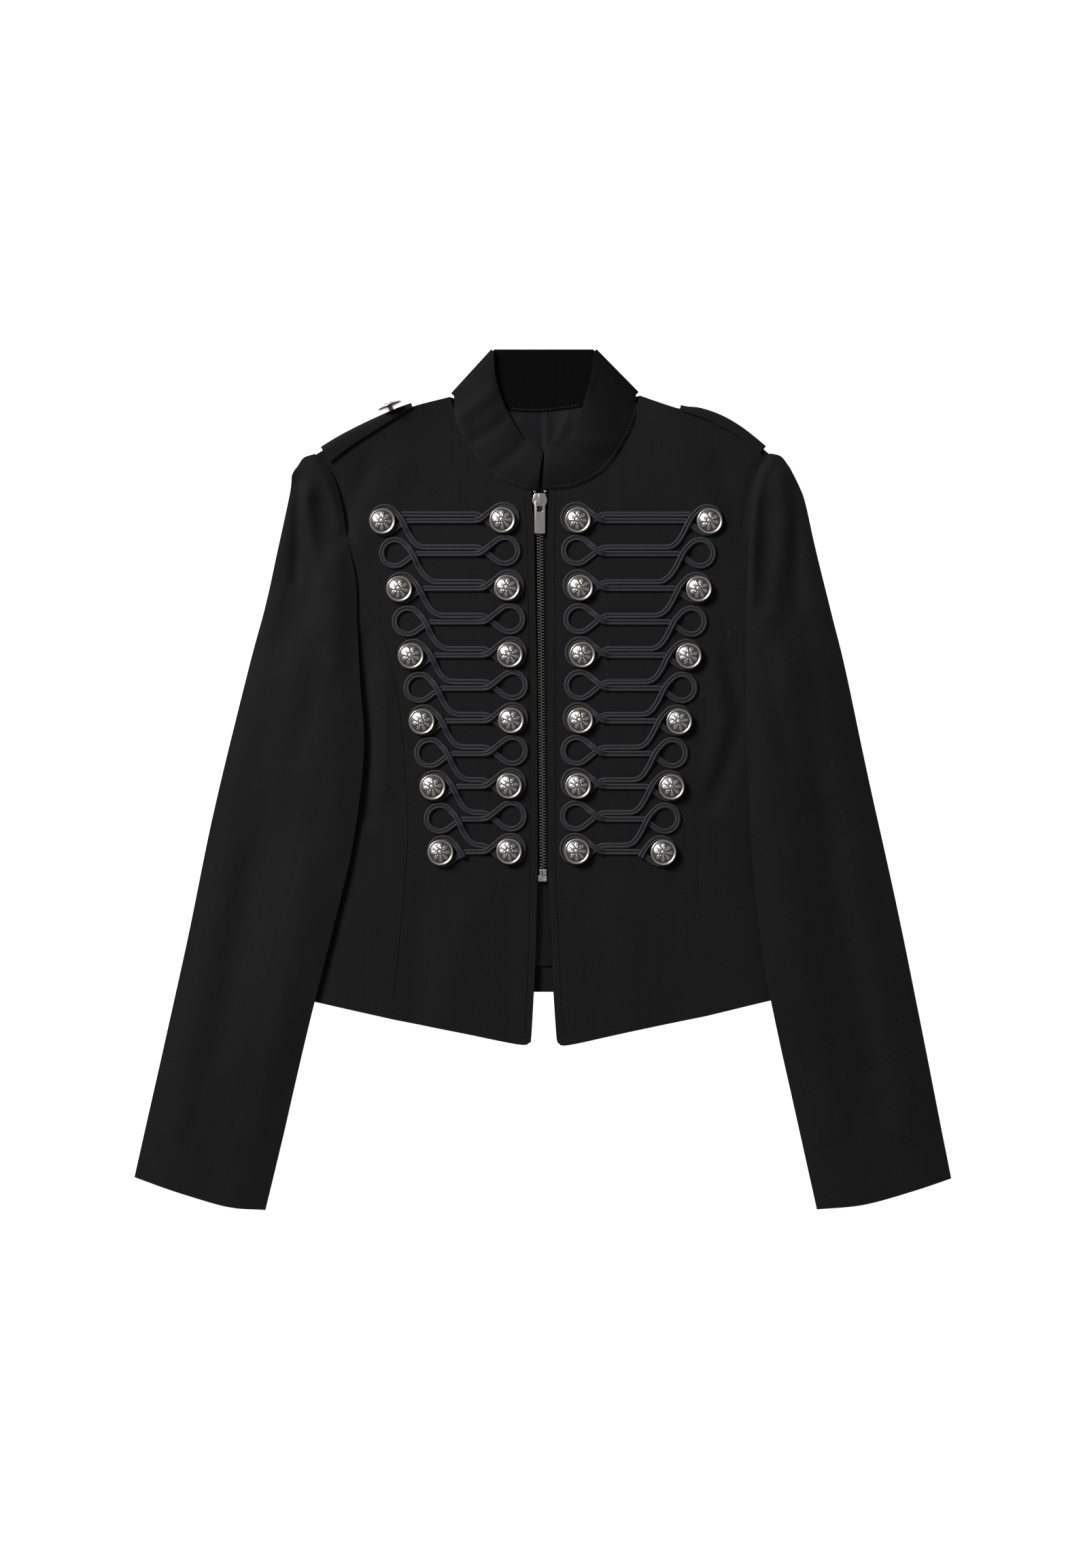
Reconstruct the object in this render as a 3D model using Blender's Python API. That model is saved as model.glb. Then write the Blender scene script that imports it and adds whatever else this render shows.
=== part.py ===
"""A fitted, cropped dress blazer with braid frogging, lying flat on its back.

The floor is z = 0, the collar points to +Y, the hem to -Y, and the front faces +Z.
Left and right are the viewer's. Sizes are in millimetres and become metres in each mesh.
"""

import math
from collections import namedtuple

import bmesh
import bpy
from mathutils import Matrix, Vector
from mathutils.bvhtree import BVHTree

MM = 0.001

# Cloth walls and the gaps between layers
CLOTH = 1.6
LINING = 1.0
COLLAR = 2.4
STRAP = 1.5
STRAP_CLEAR = 0.6
STRAP_FOLD = 1.5
SLEEVE = 1.5
TAPE = 1.0
GAP = 0.35
SEAM = 0.15

# How the layers lie
LINING_LOW = CLOTH + GAP
EDGE_GAP = 0.45
FRONT_LOFT = 3.3
FRONT_CROWN = 0.9
SHOULDER_LIFT = 7.5
NECK_LIFT = 2.5
LIFT_REACH = 45.0
EDGE_REACH = 30.0
SLEEVE_LOFT = 3.2
SLEEVE_ROUND = 14.0
SLEEVE_WAVE = 1.1
FOLD_FREE_Y = 72.0
UNDERARM_Y = 100.0

# Braid, a flat two-cord soutache
BRAID_WIDTH = 4.8
BRAID_TOP = 3.4
BRAID_HIGH = 1.6
RING = 11.1
PAIR = 3.1
RING_STEPS = 8

# Buttons
BUTTON_SIDES = 12
BUTTON_PROFILE = ((2.4, 0.0), (2.4, 3.0), (10.0, 3.1), (10.8, 4.0), (8.6, 5.2), (0.0, 7.2))
BUTTON_ROWS = 6

# Zip
CHAIN_LOW = 4.1
CHAIN_HIGH = 2.0
CHAIN_WIDE = 6.0
CHAIN_TOP = (-2.3, 233.5)
CHAIN_FOOT = (0.5, -74.0)
TAPE_LOW = 4.0
SLIDER_CENTRE = (-2.3, 235.0)
PLATE_LOW = 6.4
PLATE_HIGH = 1.0
BASE_LOW = 3.25
BASE_HIGH = 0.6
HINGE_Y = SLIDER_CENTRE[1] - 1.6
HINGE_Z = 8.4
PULL_LENGTH = 27.0
PULL_WIDE = 9.0
PULL_THICK = 1.2

Side = namedtuple(
    "Side",
    "name sign centre_edge neck shoulder armhole underarm princess side_seam hem_front hem_side "
    "cap outer inner cuff ring_inner ring_outer strap",
)

# Rows of the frogging, from the collar down
ROW_Y = (220.0, 192.4, 163.3, 135.1, 107.2, 79.6, 52.2, 24.8, -2.6, -30.0, -57.4)

LEFT = Side(
    name="left",
    sign=-1,
    centre_edge=((-9.7, -219.5), (-8.4, -200), (-5.7, -144), (-4.6, -87), (-4.2, -53), (-4.8, 84),
                 (-6.3, 164), (-7.1, 209), (-8.6, 229), (-9.1, 243.2)),
    neck=((-9.1, 243.2), (-16.5, 244.8), (-38.2, 253.4), (-57.6, 272.7), (-71.8, 299), (-77.5, 321.5)),
    shoulder=((-77.5, 321.5), (-110, 312.5), (-140, 300), (-168, 286), (-190, 272.5)),
    armhole=((-190, 272.5), (-180, 261), (-174, 250), (-169, 232), (-165.3, 210)),
    underarm=((-165.3, 210), (-166, 172), (-176, 135), (-203, 92)),
    princess=((-126, -200.4), (-115, -80), (-113, -32), (-119, 54), (-129.4, 107), (-144.8, 140.5),
              (-166, 172)),
    side_seam=((-212, -181), (-196, -110), (-188, -40), (-194, 30), (-203, 92)),
    hem_front=((-126, -200.4), (-70, -211.5), (-20, -221.5), (-9.7, -219.5)),
    hem_side=((-212, -181), (-170, -190.5), (-126, -200.4)),
    cap=((-205, 263), (-200, 270), (-190.5, 273.4)),
    outer=((-205, 263), (-210, 256), (-211.5, 241), (-223, 188.5), (-232.6, 145.6), (-246.8, 92.6),
           (-276, -27), (-300, -143), (-342.5, -333)),
    inner=((-165.3, 210), (-156.5, 168), (-155.2, 131), (-152.8, 83), (-149.5, 24), (-158.5, -51.6),
           (-172.7, -113.7), (-191, -186), (-204, -238.5), (-216, -291.6), (-232.6, -360.5)),
    cuff=((-342.5, -333), (-303, -346.5), (-264, -357.7), (-232.6, -360.5)),
    ring_inner=(-32.5, -31.4, -28.5, -27.4, -26.2, -25.1, -25.1, -25.1, -26.8, -26.2, -26.8),
    ring_outer=(-132.2, -123.7, -118.0, -112.9, -108.3, -103.1, -99.2, -94.3, -90.1, -86.0, -83.4),
    strap=(("tip", -109.0, 313.2, 0.6, 0.6), ("button", -122.0, 307.9, 3.4, 11.0),
           ("middle", -141.0, 299.5, 6.4, 12.5), ("widening", -166.0, 287.1, 9.5, 14.5),
           ("seam", -184.0, 276.2, 12.0, 16.0)),
)

RIGHT = Side(
    name="right",
    sign=1,
    centre_edge=((12.6, -220), (11.4, -213), (8.7, -171), (7.1, -128.5), (4.9, -87), (4.8, -53), (4.6, 84),
                 (4.0, 164), (3.9, 209.5), (4.8, 229.5), (5.6, 243.6)),
    neck=((5.6, 243.6), (29.1, 247.1), (53, 260.8), (69.5, 284.7), (78, 304), (81.5, 322.5)),
    shoulder=((81.5, 322.5), (115, 311), (132, 308.5), (150, 302), (168, 291), (190, 273)),
    armhole=((190, 273), (185.8, 268.5), (180, 257.4), (175, 235), (172.9, 208)),
    underarm=((172.9, 208), (178, 163), (186, 125), (203, 92)),
    princess=((137.9, -197.5), (134.5, -161.6), (130.5, -99.5), (128.3, -27), (133.4, 54.4),
              (146.5, 102.3), (165, 145), (178, 163)),
    side_seam=((212, -181), (198, -110), (191, -40), (194, 30), (203, 92)),
    hem_front=((137.9, -197.5), (75, -210.5), (22, -222.0), (12.6, -220)),
    hem_side=((212, -181), (192, -184.5), (137.9, -197.5)),
    cap=((206.9, 262), (200, 271), (190.6, 273.8)),
    outer=((206.9, 262), (214.9, 246.5), (220, 232.8), (228, 198), (242.3, 140.5), (254.2, 92.6),
           (273.6, 1.4), (302, -128), (343, -334)),
    inner=((172.9, 208), (171.0, 150), (170.4, 92.6), (172.1, 20.8), (175, -51.6), (182.4, -128),
           (191, -183.3), (208.6, -262.5), (230.3, -360.0)),
    cuff=((343, -334), (306, -346), (269, -356), (230.3, -360.0)),
    ring_inner=(28.2, 28.8, 30.2, 30.8, 31.9, 31.4, 30.2, 28.5, 28.5, 27.9, 27.4),
    ring_outer=(137.9, 132.2, 128.8, 124.8, 120.3, 116.8, 112.3, 109.0, 106.0, 102.6, 99.2),
    strap=(("tip", 115.0, 311.0, 0.6, 0.6), ("button", 127.0, 309.0, 3.6, 11.0),
           ("bend", 139.6, 306.4, 4.9, 11.8), ("middle", 151.0, 301.0, 6.0, 12.5), ("widening", 168.5, 290.7, 4.5, 14.0),
           ("seam", 185.0, 277.1, 4.5, 15.0)),
)

SIDES = (LEFT, RIGHT)
BACK_NECK = ((-77.5, 321.5), (-52, 314.5), (-26.2, 309.8), (-1.7, 308.7), (33.6, 313.0), (60, 318), (81.5, 322.5))
BACK_HEM = ((-212, -181), (-100, -178.5), (0, -177.6), (100, -178.5), (212, -181))

# How many faces lie along each seam, shared by the pieces that meet there
SHOULDER_STEPS = 4
NECK_STEPS = 5
BACK_NECK_STEPS = 8
ARMHOLE_STEPS = 3
UNDERARM_STEPS = 3
PRINCESS_STEPS = 8
SLEEVE_STEPS = 20
HEM_SIDE_STEPS = 4


def smooth_line(guides, steps):
    """Points at equal spacing on a smooth curve through the guides."""
    points = [Vector((x, y)) for x, y in guides]
    ends = [2 * points[0] - points[1]] + points + [2 * points[-1] - points[-2]]
    dense = []
    for a, b, c, d in zip(ends, ends[1:], ends[2:], ends[3:]):
        for k in range(16):
            t = k / 16
            dense.append(
                0.5 * (2 * b + (c - a) * t + (2 * a - 5 * b + 4 * c - d) * t**2
                       + (3 * b - a - 3 * c + d) * t**3)
            )
    dense.append(points[-1])
    lengths = [0.0]
    for a, b in zip(dense, dense[1:]):
        lengths.append(lengths[-1] + (b - a).length)
    result = []
    place = 0
    for k in range(steps + 1):
        want = lengths[-1] * k / steps
        while place < len(dense) - 2 and lengths[place + 1] < want:
            place += 1
        span = lengths[place + 1] - lengths[place]
        result.append(dense[place].lerp(dense[place + 1], (want - lengths[place]) / span))
    return result


def joined(*lines):
    """Lines end to end as one, with each shared point kept once."""
    result = list(lines[0])
    for line in lines[1:]:
        result += line[1:]
    return result


def moved(line, x, y=0.0):
    return [point + Vector((x, y)) for point in line]


def foot_on(line, point):
    """The point of a line in plan that is nearest to a given point."""
    feet = []
    for a, b in zip(line, line[1:]):
        along = b - a
        t = max(0.0, min(1.0, (point - a).dot(along) / max(along.length_squared, 1e-9)))
        feet.append(a + along * t)
    return min(feet, key=lambda foot: (foot - point).length)


def nearest(line, point):
    """Distance from a point to a line in plan."""
    return (foot_on(line, point) - point).length


def ease(t):
    t = max(0.0, min(1.0, t))
    return t * t * (3 - 2 * t)


def rounded(t):
    """Rises like the side of a circle from 0 to 1."""
    t = max(0.0, min(1.0, t))
    return math.sqrt(1 - (1 - t) ** 2)


def material(name, color, roughness, metallic=0.0):
    made = bpy.data.materials.new(name)
    made.use_nodes = True
    shader = made.node_tree.nodes["Principled BSDF"]
    shader.inputs["Base Color"].default_value = (*color, 1.0)
    shader.inputs["Roughness"].default_value = roughness
    shader.inputs["Metallic"].default_value = metallic
    return made


class Seams:
    """The seams of one side as points, so that the pieces that meet there share them."""

    def __init__(self, side):
        self.side = side
        self.shoulder = smooth_line(side.shoulder, SHOULDER_STEPS)
        self.neck = smooth_line(side.neck, NECK_STEPS)
        self.armhole = smooth_line(side.armhole, ARMHOLE_STEPS)
        self.underarm = smooth_line(side.underarm, UNDERARM_STEPS)
        self.princess = smooth_line(side.princess, PRINCESS_STEPS)
        self.side_seam = smooth_line(side.side_seam, PRINCESS_STEPS)
        self.ridge = smooth_line((*side.shoulder, side.cap[1], side.outer[3]), 24)


SEAMS = {side.name: Seams(side) for side in SIDES}


def lift(point):
    """How far the shoulder holds the bottom layer off the floor."""
    seams = SEAMS["left" if point.x < 0 else "right"]
    away = nearest(seams.ridge, point)
    neck_end = abs(seams.shoulder[0].x)
    along = ease((abs(point.x) - neck_end) / 35)
    down = 1 - ease((262 - point.y) / 90) if abs(point.x) > 186 else 1.0
    high = NECK_LIFT + (SHOULDER_LIFT - NECK_LIFT) * along
    return high * down * max(0.0, 1 - away / LIFT_REACH) ** 2


def front_low(point):
    """Underside of the front panels: it meets the back at the shoulder and side seams."""
    seams = SEAMS["left" if point.x < 0 else "right"]
    from_shoulder = nearest(seams.shoulder, point) / EDGE_REACH
    from_side = nearest(seams.side_seam, point) / EDGE_REACH
    open_up = min(ease(from_shoulder * 0.8 + 0.2) if from_shoulder > 0 else 0, ease(from_side))
    if from_shoulder < 1:
        open_up = min(open_up, ease(from_shoulder))
    crown = FRONT_CROWN * math.exp(
        -((abs(point.x) - 75) ** 2) / 4000 - (point.y - 60) ** 2 / 24000
    )
    return CLOTH + EDGE_GAP + lift(point) + FRONT_LOFT * open_up + crown


def coons(bottom, top, left, right):
    """A grid of plan points filled in from four edges, as rows from bottom to top."""
    columns, rows = len(bottom) - 1, len(left) - 1
    grid = []
    for j in range(rows + 1):
        v = j / rows
        row = []
        for i in range(columns + 1):
            u = i / columns
            corner = (
                bottom[0] * (1 - u) * (1 - v) + bottom[-1] * u * (1 - v)
                + top[0] * (1 - u) * v + top[-1] * u * v
            )
            row.append(
                bottom[i] * (1 - v) + top[i] * v + left[j] * (1 - u) + right[j] * u - corner
            )
        grid.append(row)
    return grid


def finish_object(name, bm, finish, place=(0, 0, 0)):
    bmesh.ops.recalc_face_normals(bm, faces=bm.faces[:])
    mesh = bpy.data.meshes.new(name)
    bm.to_mesh(mesh)
    bm.free()
    mesh.materials.append(finish)
    mesh.shade_smooth()
    mesh.set_sharp_from_angle(angle=math.radians(40))
    made = bpy.data.objects.new(name, mesh)
    made.location = Vector(place) * MM
    bpy.context.scene.collection.objects.link(made)
    return made


def cloth_wall(name, grid, heights, thick, finish):
    """A sheet of cloth over a plan grid, with its wall built straight up."""
    rows, columns = len(grid) - 1, len(grid[0]) - 1
    bm = bmesh.new()
    bmesh.ops.create_grid(bm, x_segments=columns, y_segments=rows, size=0.5)
    for vert in bm.verts:
        i = round((vert.co.x + 0.5) * columns)
        j = round((vert.co.y + 0.5) * rows)
        spot = grid[j][i]
        vert.co = Vector((spot.x, spot.y, heights[j][i])) * MM
    grown = bmesh.ops.extrude_face_region(bm, geom=bm.faces[:], use_keep_orig=True)
    raised = [item for item in grown["geom"] if isinstance(item, bmesh.types.BMVert)]
    bmesh.ops.translate(bm, verts=raised, vec=(0, 0, thick * MM))
    return finish_object(name, bm, finish)


def heights_of(grid, low):
    return [[low(point) for point in row] for row in grid]


def ribbon_wall(name, rows, thick, finish):
    """A sheet through rows of space points, thickened evenly to both sides."""
    bm = bmesh.new()
    lines = [[bm.verts.new(Vector(point) * MM) for point in row] for row in rows]
    for one, two in zip(lines, lines[1:]):
        for a, b, c, d in zip(one, one[1:], two[1:], two):
            bm.faces.new((a, b, c, d))
    made = finish_object(name, bm, finish)
    wall = made.modifiers.new("wall", "SOLIDIFY")
    wall.thickness = thick * MM
    wall.offset = 0
    wall.use_even_offset = True
    return made


class Surface:
    """The top of some finished pieces, for whatever lies on them."""

    def __init__(self, *pieces):
        bpy.context.view_layer.update()
        graph = bpy.context.evaluated_depsgraph_get()
        self.trees = [BVHTree.FromObject(piece, graph) for piece in pieces]

    def top(self, x, y):
        """Height of the cloth at a plan point, or None beside it."""
        best = None
        for tree in self.trees:
            hit = tree.ray_cast(Vector((x, y, 500)) * MM, Vector((0, 0, -1)))[0]
            if hit is not None and (best is None or hit.z / MM > best):
                best = hit.z / MM
        return best

    def under(self, x, y):
        """Height of the underside at a plan point, or None beside it."""
        hit = self.trees[0].ray_cast(Vector((x, y, -50)) * MM, Vector((0, 0, 1)))[0]
        return None if hit is None else hit.z / MM

    def highest(self, x, y, reach_x, reach_y):
        """Highest cloth in a window round a plan point."""
        return max(self.window(self.top, x, y, reach_x, reach_y), default=None)

    def lowest(self, x, y, reach_x, reach_y):
        """Lowest underside in a window round a plan point."""
        return min(self.window(self.under, x, y, reach_x, reach_y), default=None)

    @staticmethod
    def window(probe, x, y, reach_x, reach_y):
        found = []
        for i in range(-2, 3):
            for j in range(-2, 3):
                height = probe(x + reach_x * i / 2, y + reach_y * j / 2)
                if height is not None:
                    found.append(height)
        return found


def sweep(name, path, section, finish):
    """A closed strip along space points, with its section upright across the path."""
    bm = bmesh.new()
    rings = []
    for k, point in enumerate(path):
        before = path[max(k - 1, 0)]
        after = path[min(k + 1, len(path) - 1)]
        into = Vector((point[0] - before[0], point[1] - before[1]))
        out = Vector((after[0] - point[0], after[1] - point[1]))
        into = into.normalized() if into.length else out.normalized()
        out = out.normalized() if out.length else into
        along = (into + out).normalized()
        across = Vector((-along.y, along.x)) / max(along.dot(into), 0.8)
        rings.append([
            bm.verts.new(
                Vector((point[0] + across.x * side, point[1] + across.y * side, point[2] + high)) * MM
            )
            for side, high in section
        ])
    count = len(section)
    for one, two in zip(rings, rings[1:]):
        for k in range(count):
            bm.faces.new((one[k], one[(k + 1) % count], two[(k + 1) % count], two[k]))
    bm.faces.new(rings[0])
    bm.faces.new(reversed(rings[-1]))
    return finish_object(name, bm, finish)


def extruded(name, outline, low, high, finish):
    """A flat plate with a plan outline."""
    bm = bmesh.new()
    face = bm.faces.new([bm.verts.new(Vector((x, y, low)) * MM) for x, y in outline])
    grown = bmesh.ops.extrude_face_region(bm, geom=[face], use_keep_orig=True)
    raised = [item for item in grown["geom"] if isinstance(item, bmesh.types.BMVert)]
    bmesh.ops.translate(bm, verts=raised, vec=(0, 0, high * MM))
    return finish_object(name, bm, finish)


def box_outline(x0, x1, y0, y1):
    return ((x0, y0), (x1, y0), (x1, y1), (x0, y1))


def combine(target, cutter, operation):
    """Joins or cuts one piece with another, which stays as a hidden guide."""
    cutter.hide_render = True
    cutter.display_type = "WIRE"
    change = target.modifiers.new(operation.lower(), "BOOLEAN")
    change.operation = operation
    change.object = cutter


def build_back(finish):
    left, right = SEAMS["left"], SEAMS["right"]
    top = joined(
        left.shoulder[::-1], smooth_line(BACK_NECK, BACK_NECK_STEPS), right.shoulder
    )
    sides = [
        joined(seams.side_seam, joined(seams.armhole, seams.underarm)[::-1]) for seams in (left, right)
    ]
    grid = coons(smooth_line(BACK_HEM, len(top) - 1), top, *sides)
    return cloth_wall("back", grid, heights_of(grid, lift), CLOTH, finish)


def build_lining(finish):
    """The back lining, from the neck seam to its own hem above the back hem."""
    top = moved(smooth_line(BACK_NECK, BACK_NECK_STEPS)[1:-1], 0, -0.6)
    bottom = smooth_line(((-140, -158), (0, -155.9), (140, -158)), len(top) - 1)
    rows = 6
    edges = [
        smooth_line((bottom[end], (118 * sign, 0), (100 * sign, 200), top[end]), rows)
        for end, sign in ((0, -1), (-1, 1))
    ]
    grid = coons(bottom, top, *edges)
    return cloth_wall(
        "back_lining", grid, heights_of(grid, lambda point: LINING_LOW + lift(point)), LINING, finish
    )


def build_front(side, finish):
    """The centre front panel, with its outer edge on the princess seam and the armhole."""
    seams = SEAMS[side.name]
    upper = joined(seams.armhole, seams.underarm[:2])[::-1]
    outer = moved(joined(seams.princess, upper), -side.sign * SEAM)
    top = joined(seams.shoulder[::-1], seams.neck[::-1])
    bottom = smooth_line(side.hem_front, len(top) - 1)
    centre = smooth_line(side.centre_edge, len(outer) - 1)
    grid = coons(bottom, top, outer, centre)
    return cloth_wall("front_" + side.name, grid, heights_of(grid, front_low), CLOTH, finish)


def build_side_front(side, finish):
    seams = SEAMS[side.name]
    inner = moved(seams.princess, side.sign * SEAM)
    hem = smooth_line(side.hem_side, HEM_SIDE_STEPS)
    under = smooth_line([tuple(p) for p in seams.underarm[:0:-1]], HEM_SIDE_STEPS)
    under[-1] = inner[-1]
    hem[-1] = inner[0]
    grid = coons(hem, under, seams.side_seam, inner)
    return cloth_wall("side_front_" + side.name, grid, heights_of(grid, front_low), CLOTH, finish)


def sleeve_grid(side, inner, columns):
    """Rows from cuff to cap between the sleeve's outer fold and a given inner edge."""
    outer = smooth_line(side.outer, SLEEVE_STEPS)[::-1]
    cuff = smooth_line(side.cuff, columns)
    cap = smooth_line(side.cap, columns)
    inner = inner[::-1]
    cuff[0], cuff[-1] = outer[0], inner[0]
    cap[0], cap[-1] = outer[-1], inner[-1]
    return coons(cuff, cap, outer, inner)


def build_under_sleeve(side, body, finish):
    """The lower wall: on the floor beside the body, and over the side front inside it."""
    seams = SEAMS[side.name]
    armhole = moved(joined(seams.armhole, seams.underarm), side.sign * 2 * SEAM)
    free = [tuple(point) for point in smooth_line(side.inner, 60) if point.y < FOLD_FREE_Y]
    fold = smooth_line(free, SLEEVE_STEPS - len(armhole))
    grid = sleeve_grid(side, armhole + fold, 4)
    heights = []
    for row in grid:
        line = []
        for point in row:
            high = lift(point)
            if row[-1].y < UNDERARM_Y:
                held = body.highest(point.x, point.y, 20, 34)
                high = max(high, held + GAP if held is not None else 0)
            line.append(high)
        heights.append(line)
    return cloth_wall("under_sleeve_" + side.name, grid, heights, SLEEVE, finish)


def build_top_sleeve(side, body, under, finish):
    """The upper wall, sewn into the armhole and rounded down to both folds."""
    seams = SEAMS[side.name]
    armhole = moved(seams.armhole, side.sign * 2 * SEAM)
    fold = smooth_line(side.inner, SLEEVE_STEPS - ARMHOLE_STEPS)
    inner = armhole + fold[1:]
    columns = 8
    grid = sleeve_grid(side, inner, columns)
    outline = [smooth_line(side.outer, 40), smooth_line(side.cap, 6), smooth_line(side.inner, 40)]
    heights = []
    last = len(grid) - 1
    for j, row in enumerate(grid):
        line = []
        for i, point in enumerate(row):
            seam = last - j < ARMHOLE_STEPS and i == columns
            base = under.highest(point.x, point.y, 8, 14)
            base = lift(point) + SLEEVE if base is None else base
            if row[-1].y < 240:
                held = body.highest(point.x, point.y, 10, 16)
                base = max(base, held + 0.1) if held is not None and not seam else base
            edge = min(nearest(line_, point) for line_ in outline)
            wave = SLEEVE_WAVE * math.cos(3 * math.pi * i / columns) * ease((120 + point.y) / 200)
            swell = (SLEEVE_LOFT + wave) * rounded(edge / SLEEVE_ROUND)
            line.append(front_low(point) if seam else base + GAP + swell)
        heights.append(line)
    return cloth_wall("top_sleeve_" + side.name, grid, heights, SLEEVE, finish)


# Top edge of the folded collar, from the centre front round to the shoulder fold
COLLAR_TOP = {
    "left": ((0.6, 275.5), (-5.7, 281.3), (-16.5, 287), (-24.5, 300), (-33.5, 317.5), (-39.2, 337),
             (-40.8, 359.4)),
    "right": ((1.9, 276.0), (5.9, 282.2), (22.2, 288.4), (29.5, 299), (35.8, 320.5), (41.2, 342),
              (43.2, 359.4)),
}
COLLAR_CENTRE = {"left": (-4.6, 243.8), "right": (-0.2, 244.4)}
COLLAR_CORNER = {"left": (-74.4, 322.6), "right": (78.4, 323.6)}
COLLAR_ACROSS = 3
COLLAR_FRONT_TOP = 4.7
COLLAR_FOLD_HIGH = 5.3
COLLAR_BULGE = 2.6


def collar_line(neck, top, neck_high, top_high, bulge=0.0):
    """One line across the collar's wall, from the neck seam to its top edge."""
    line = []
    for k in range(COLLAR_ACROSS + 1):
        t = k / COLLAR_ACROSS
        spot = neck.lerp(top, t)
        high = neck_high + (top_high - neck_high) * t + bulge * math.sin(math.pi * t)
        line.append((spot.x, spot.y, high))
    return line


def build_collar(finish):
    """One stand collar: inside of the back on the floor, folded forward at both shoulders."""
    back_high = COLLAR / 2
    halves = []
    for side in SIDES:
        seams = SEAMS[side.name]
        inward = Vector((-side.sign * 0.5, 0.6))
        necks = [Vector(COLLAR_CENTRE[side.name])] + [p + inward for p in seams.neck[1:-1]]
        necks.append(Vector(COLLAR_CORNER[side.name]))
        tops = smooth_line(COLLAR_TOP[side.name], len(necks) - 1)
        lines = []
        last = len(necks) - 1
        for k, (neck, top) in enumerate(zip(necks, tops)):
            near = k / last
            neck_high = max(front_low(neck) + CLOTH / 2, COLLAR_FOLD_HIGH)
            top_high = COLLAR_FRONT_TOP + (COLLAR_FOLD_HIGH - COLLAR_FRONT_TOP) * ease(near)
            if k == last:
                neck_high = COLLAR_FOLD_HIGH
            lines.append(collar_line(neck, top, neck_high, top_high, COLLAR_BULGE * (1 - near)))
        radius = (COLLAR_FOLD_HIGH - back_high) / 2
        fold = tops[-1] - necks[-1]
        away = Vector((fold.y, -fold.x)).normalized() * side.sign
        for angle in (45, 90, 135, 180):
            turn = math.radians(angle)
            shift = away * radius * math.sin(turn)
            high = back_high + radius * (1 + math.cos(turn))
            lines.append(collar_line(necks[-1] + shift, tops[-1] + shift, high, high))
        halves.append(lines)
    left, right = halves
    neck = moved(smooth_line(BACK_NECK, BACK_NECK_STEPS)[1:-1], 0, 0.6)
    top = smooth_line(((-43.3, 361.7), (45.6, 361.7)), BACK_NECK_STEPS)[1:-1]
    back = [collar_line(a, b, back_high, back_high) for a, b in zip(neck, top)]
    return ribbon_wall("collar", left + back + right[::-1], COLLAR, finish)


def build_strap(side, body, back, finish):
    """A pointed shoulder strap, folded over the shoulder line with its back half underneath."""
    rows = []
    shoulder = SEAMS[side.name].shoulder
    stations = [foot_on(shoulder, Vector((x, y))) for _, x, y, _, _ in side.strap]
    for k, (_, _, _, front_wide, back_wide) in enumerate(side.strap):
        spot = stations[k]
        along = (stations[min(k + 1, len(stations) - 1)] - stations[max(k - 1, 0)]).normalized()
        inward = Vector((along.y, -along.x)) * side.sign

        def under(depth):
            held = back.lowest(spot.x + inward.x * depth, spot.y + inward.y * depth, 4, 4)
            return held - GAP - STRAP / 2

        def over(depth):
            held = body.highest(spot.x + inward.x * depth, spot.y + inward.y * depth, 5, 5)
            return held + GAP + STRAP / 2

        low = under(0)
        high = over(1.0)
        middle, radius = (low + high) / 2, (high - low) / 2
        profile = [(back_wide, under(back_wide)), (back_wide / 2, under(back_wide / 2)), (0, low)]
        for turn in (-45, 0, 45):
            angle = math.radians(turn)
            out = STRAP / 2 + STRAP_CLEAR + STRAP_FOLD * math.cos(angle)
            profile.append((-out, middle + radius * math.sin(angle)))
        profile += [(0, high), (front_wide / 2, over(front_wide / 2)), (front_wide, over(front_wide))]
        rows.append([
            (spot.x + inward.x * depth, spot.y + inward.y * depth, max(height, STRAP / 2))
            for depth, height in profile
        ])
    return ribbon_wall("shoulder_strap_" + side.name, rows, STRAP, finish)


def ring_points(centre, zipward, start, stop):
    """Points round a loop, with angles from the zip-ward direction."""
    points = []
    for k in range(RING_STEPS + 1):
        angle = math.radians(start + (stop - start) * k / RING_STEPS)
        points.append((
            centre[0] + zipward * RING * math.cos(angle), centre[1] + RING * math.sin(angle), 0.0
        ))
    return points


# The cord from an outer loop's top down to the next row, from the loop's centre: zipward, up, level
DIAGONAL = ((13.5, 1.8, 1.0), (17.0, -5.0, 1.0), (20.3, -12.0, 0.0), (24.5, -18.5, 0.0), (28.5, -21.8, 0.0))
OUTER_DROP = 2.0
NECK_CROSSING = 17.6
OUTER_TURN = 17.5


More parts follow.
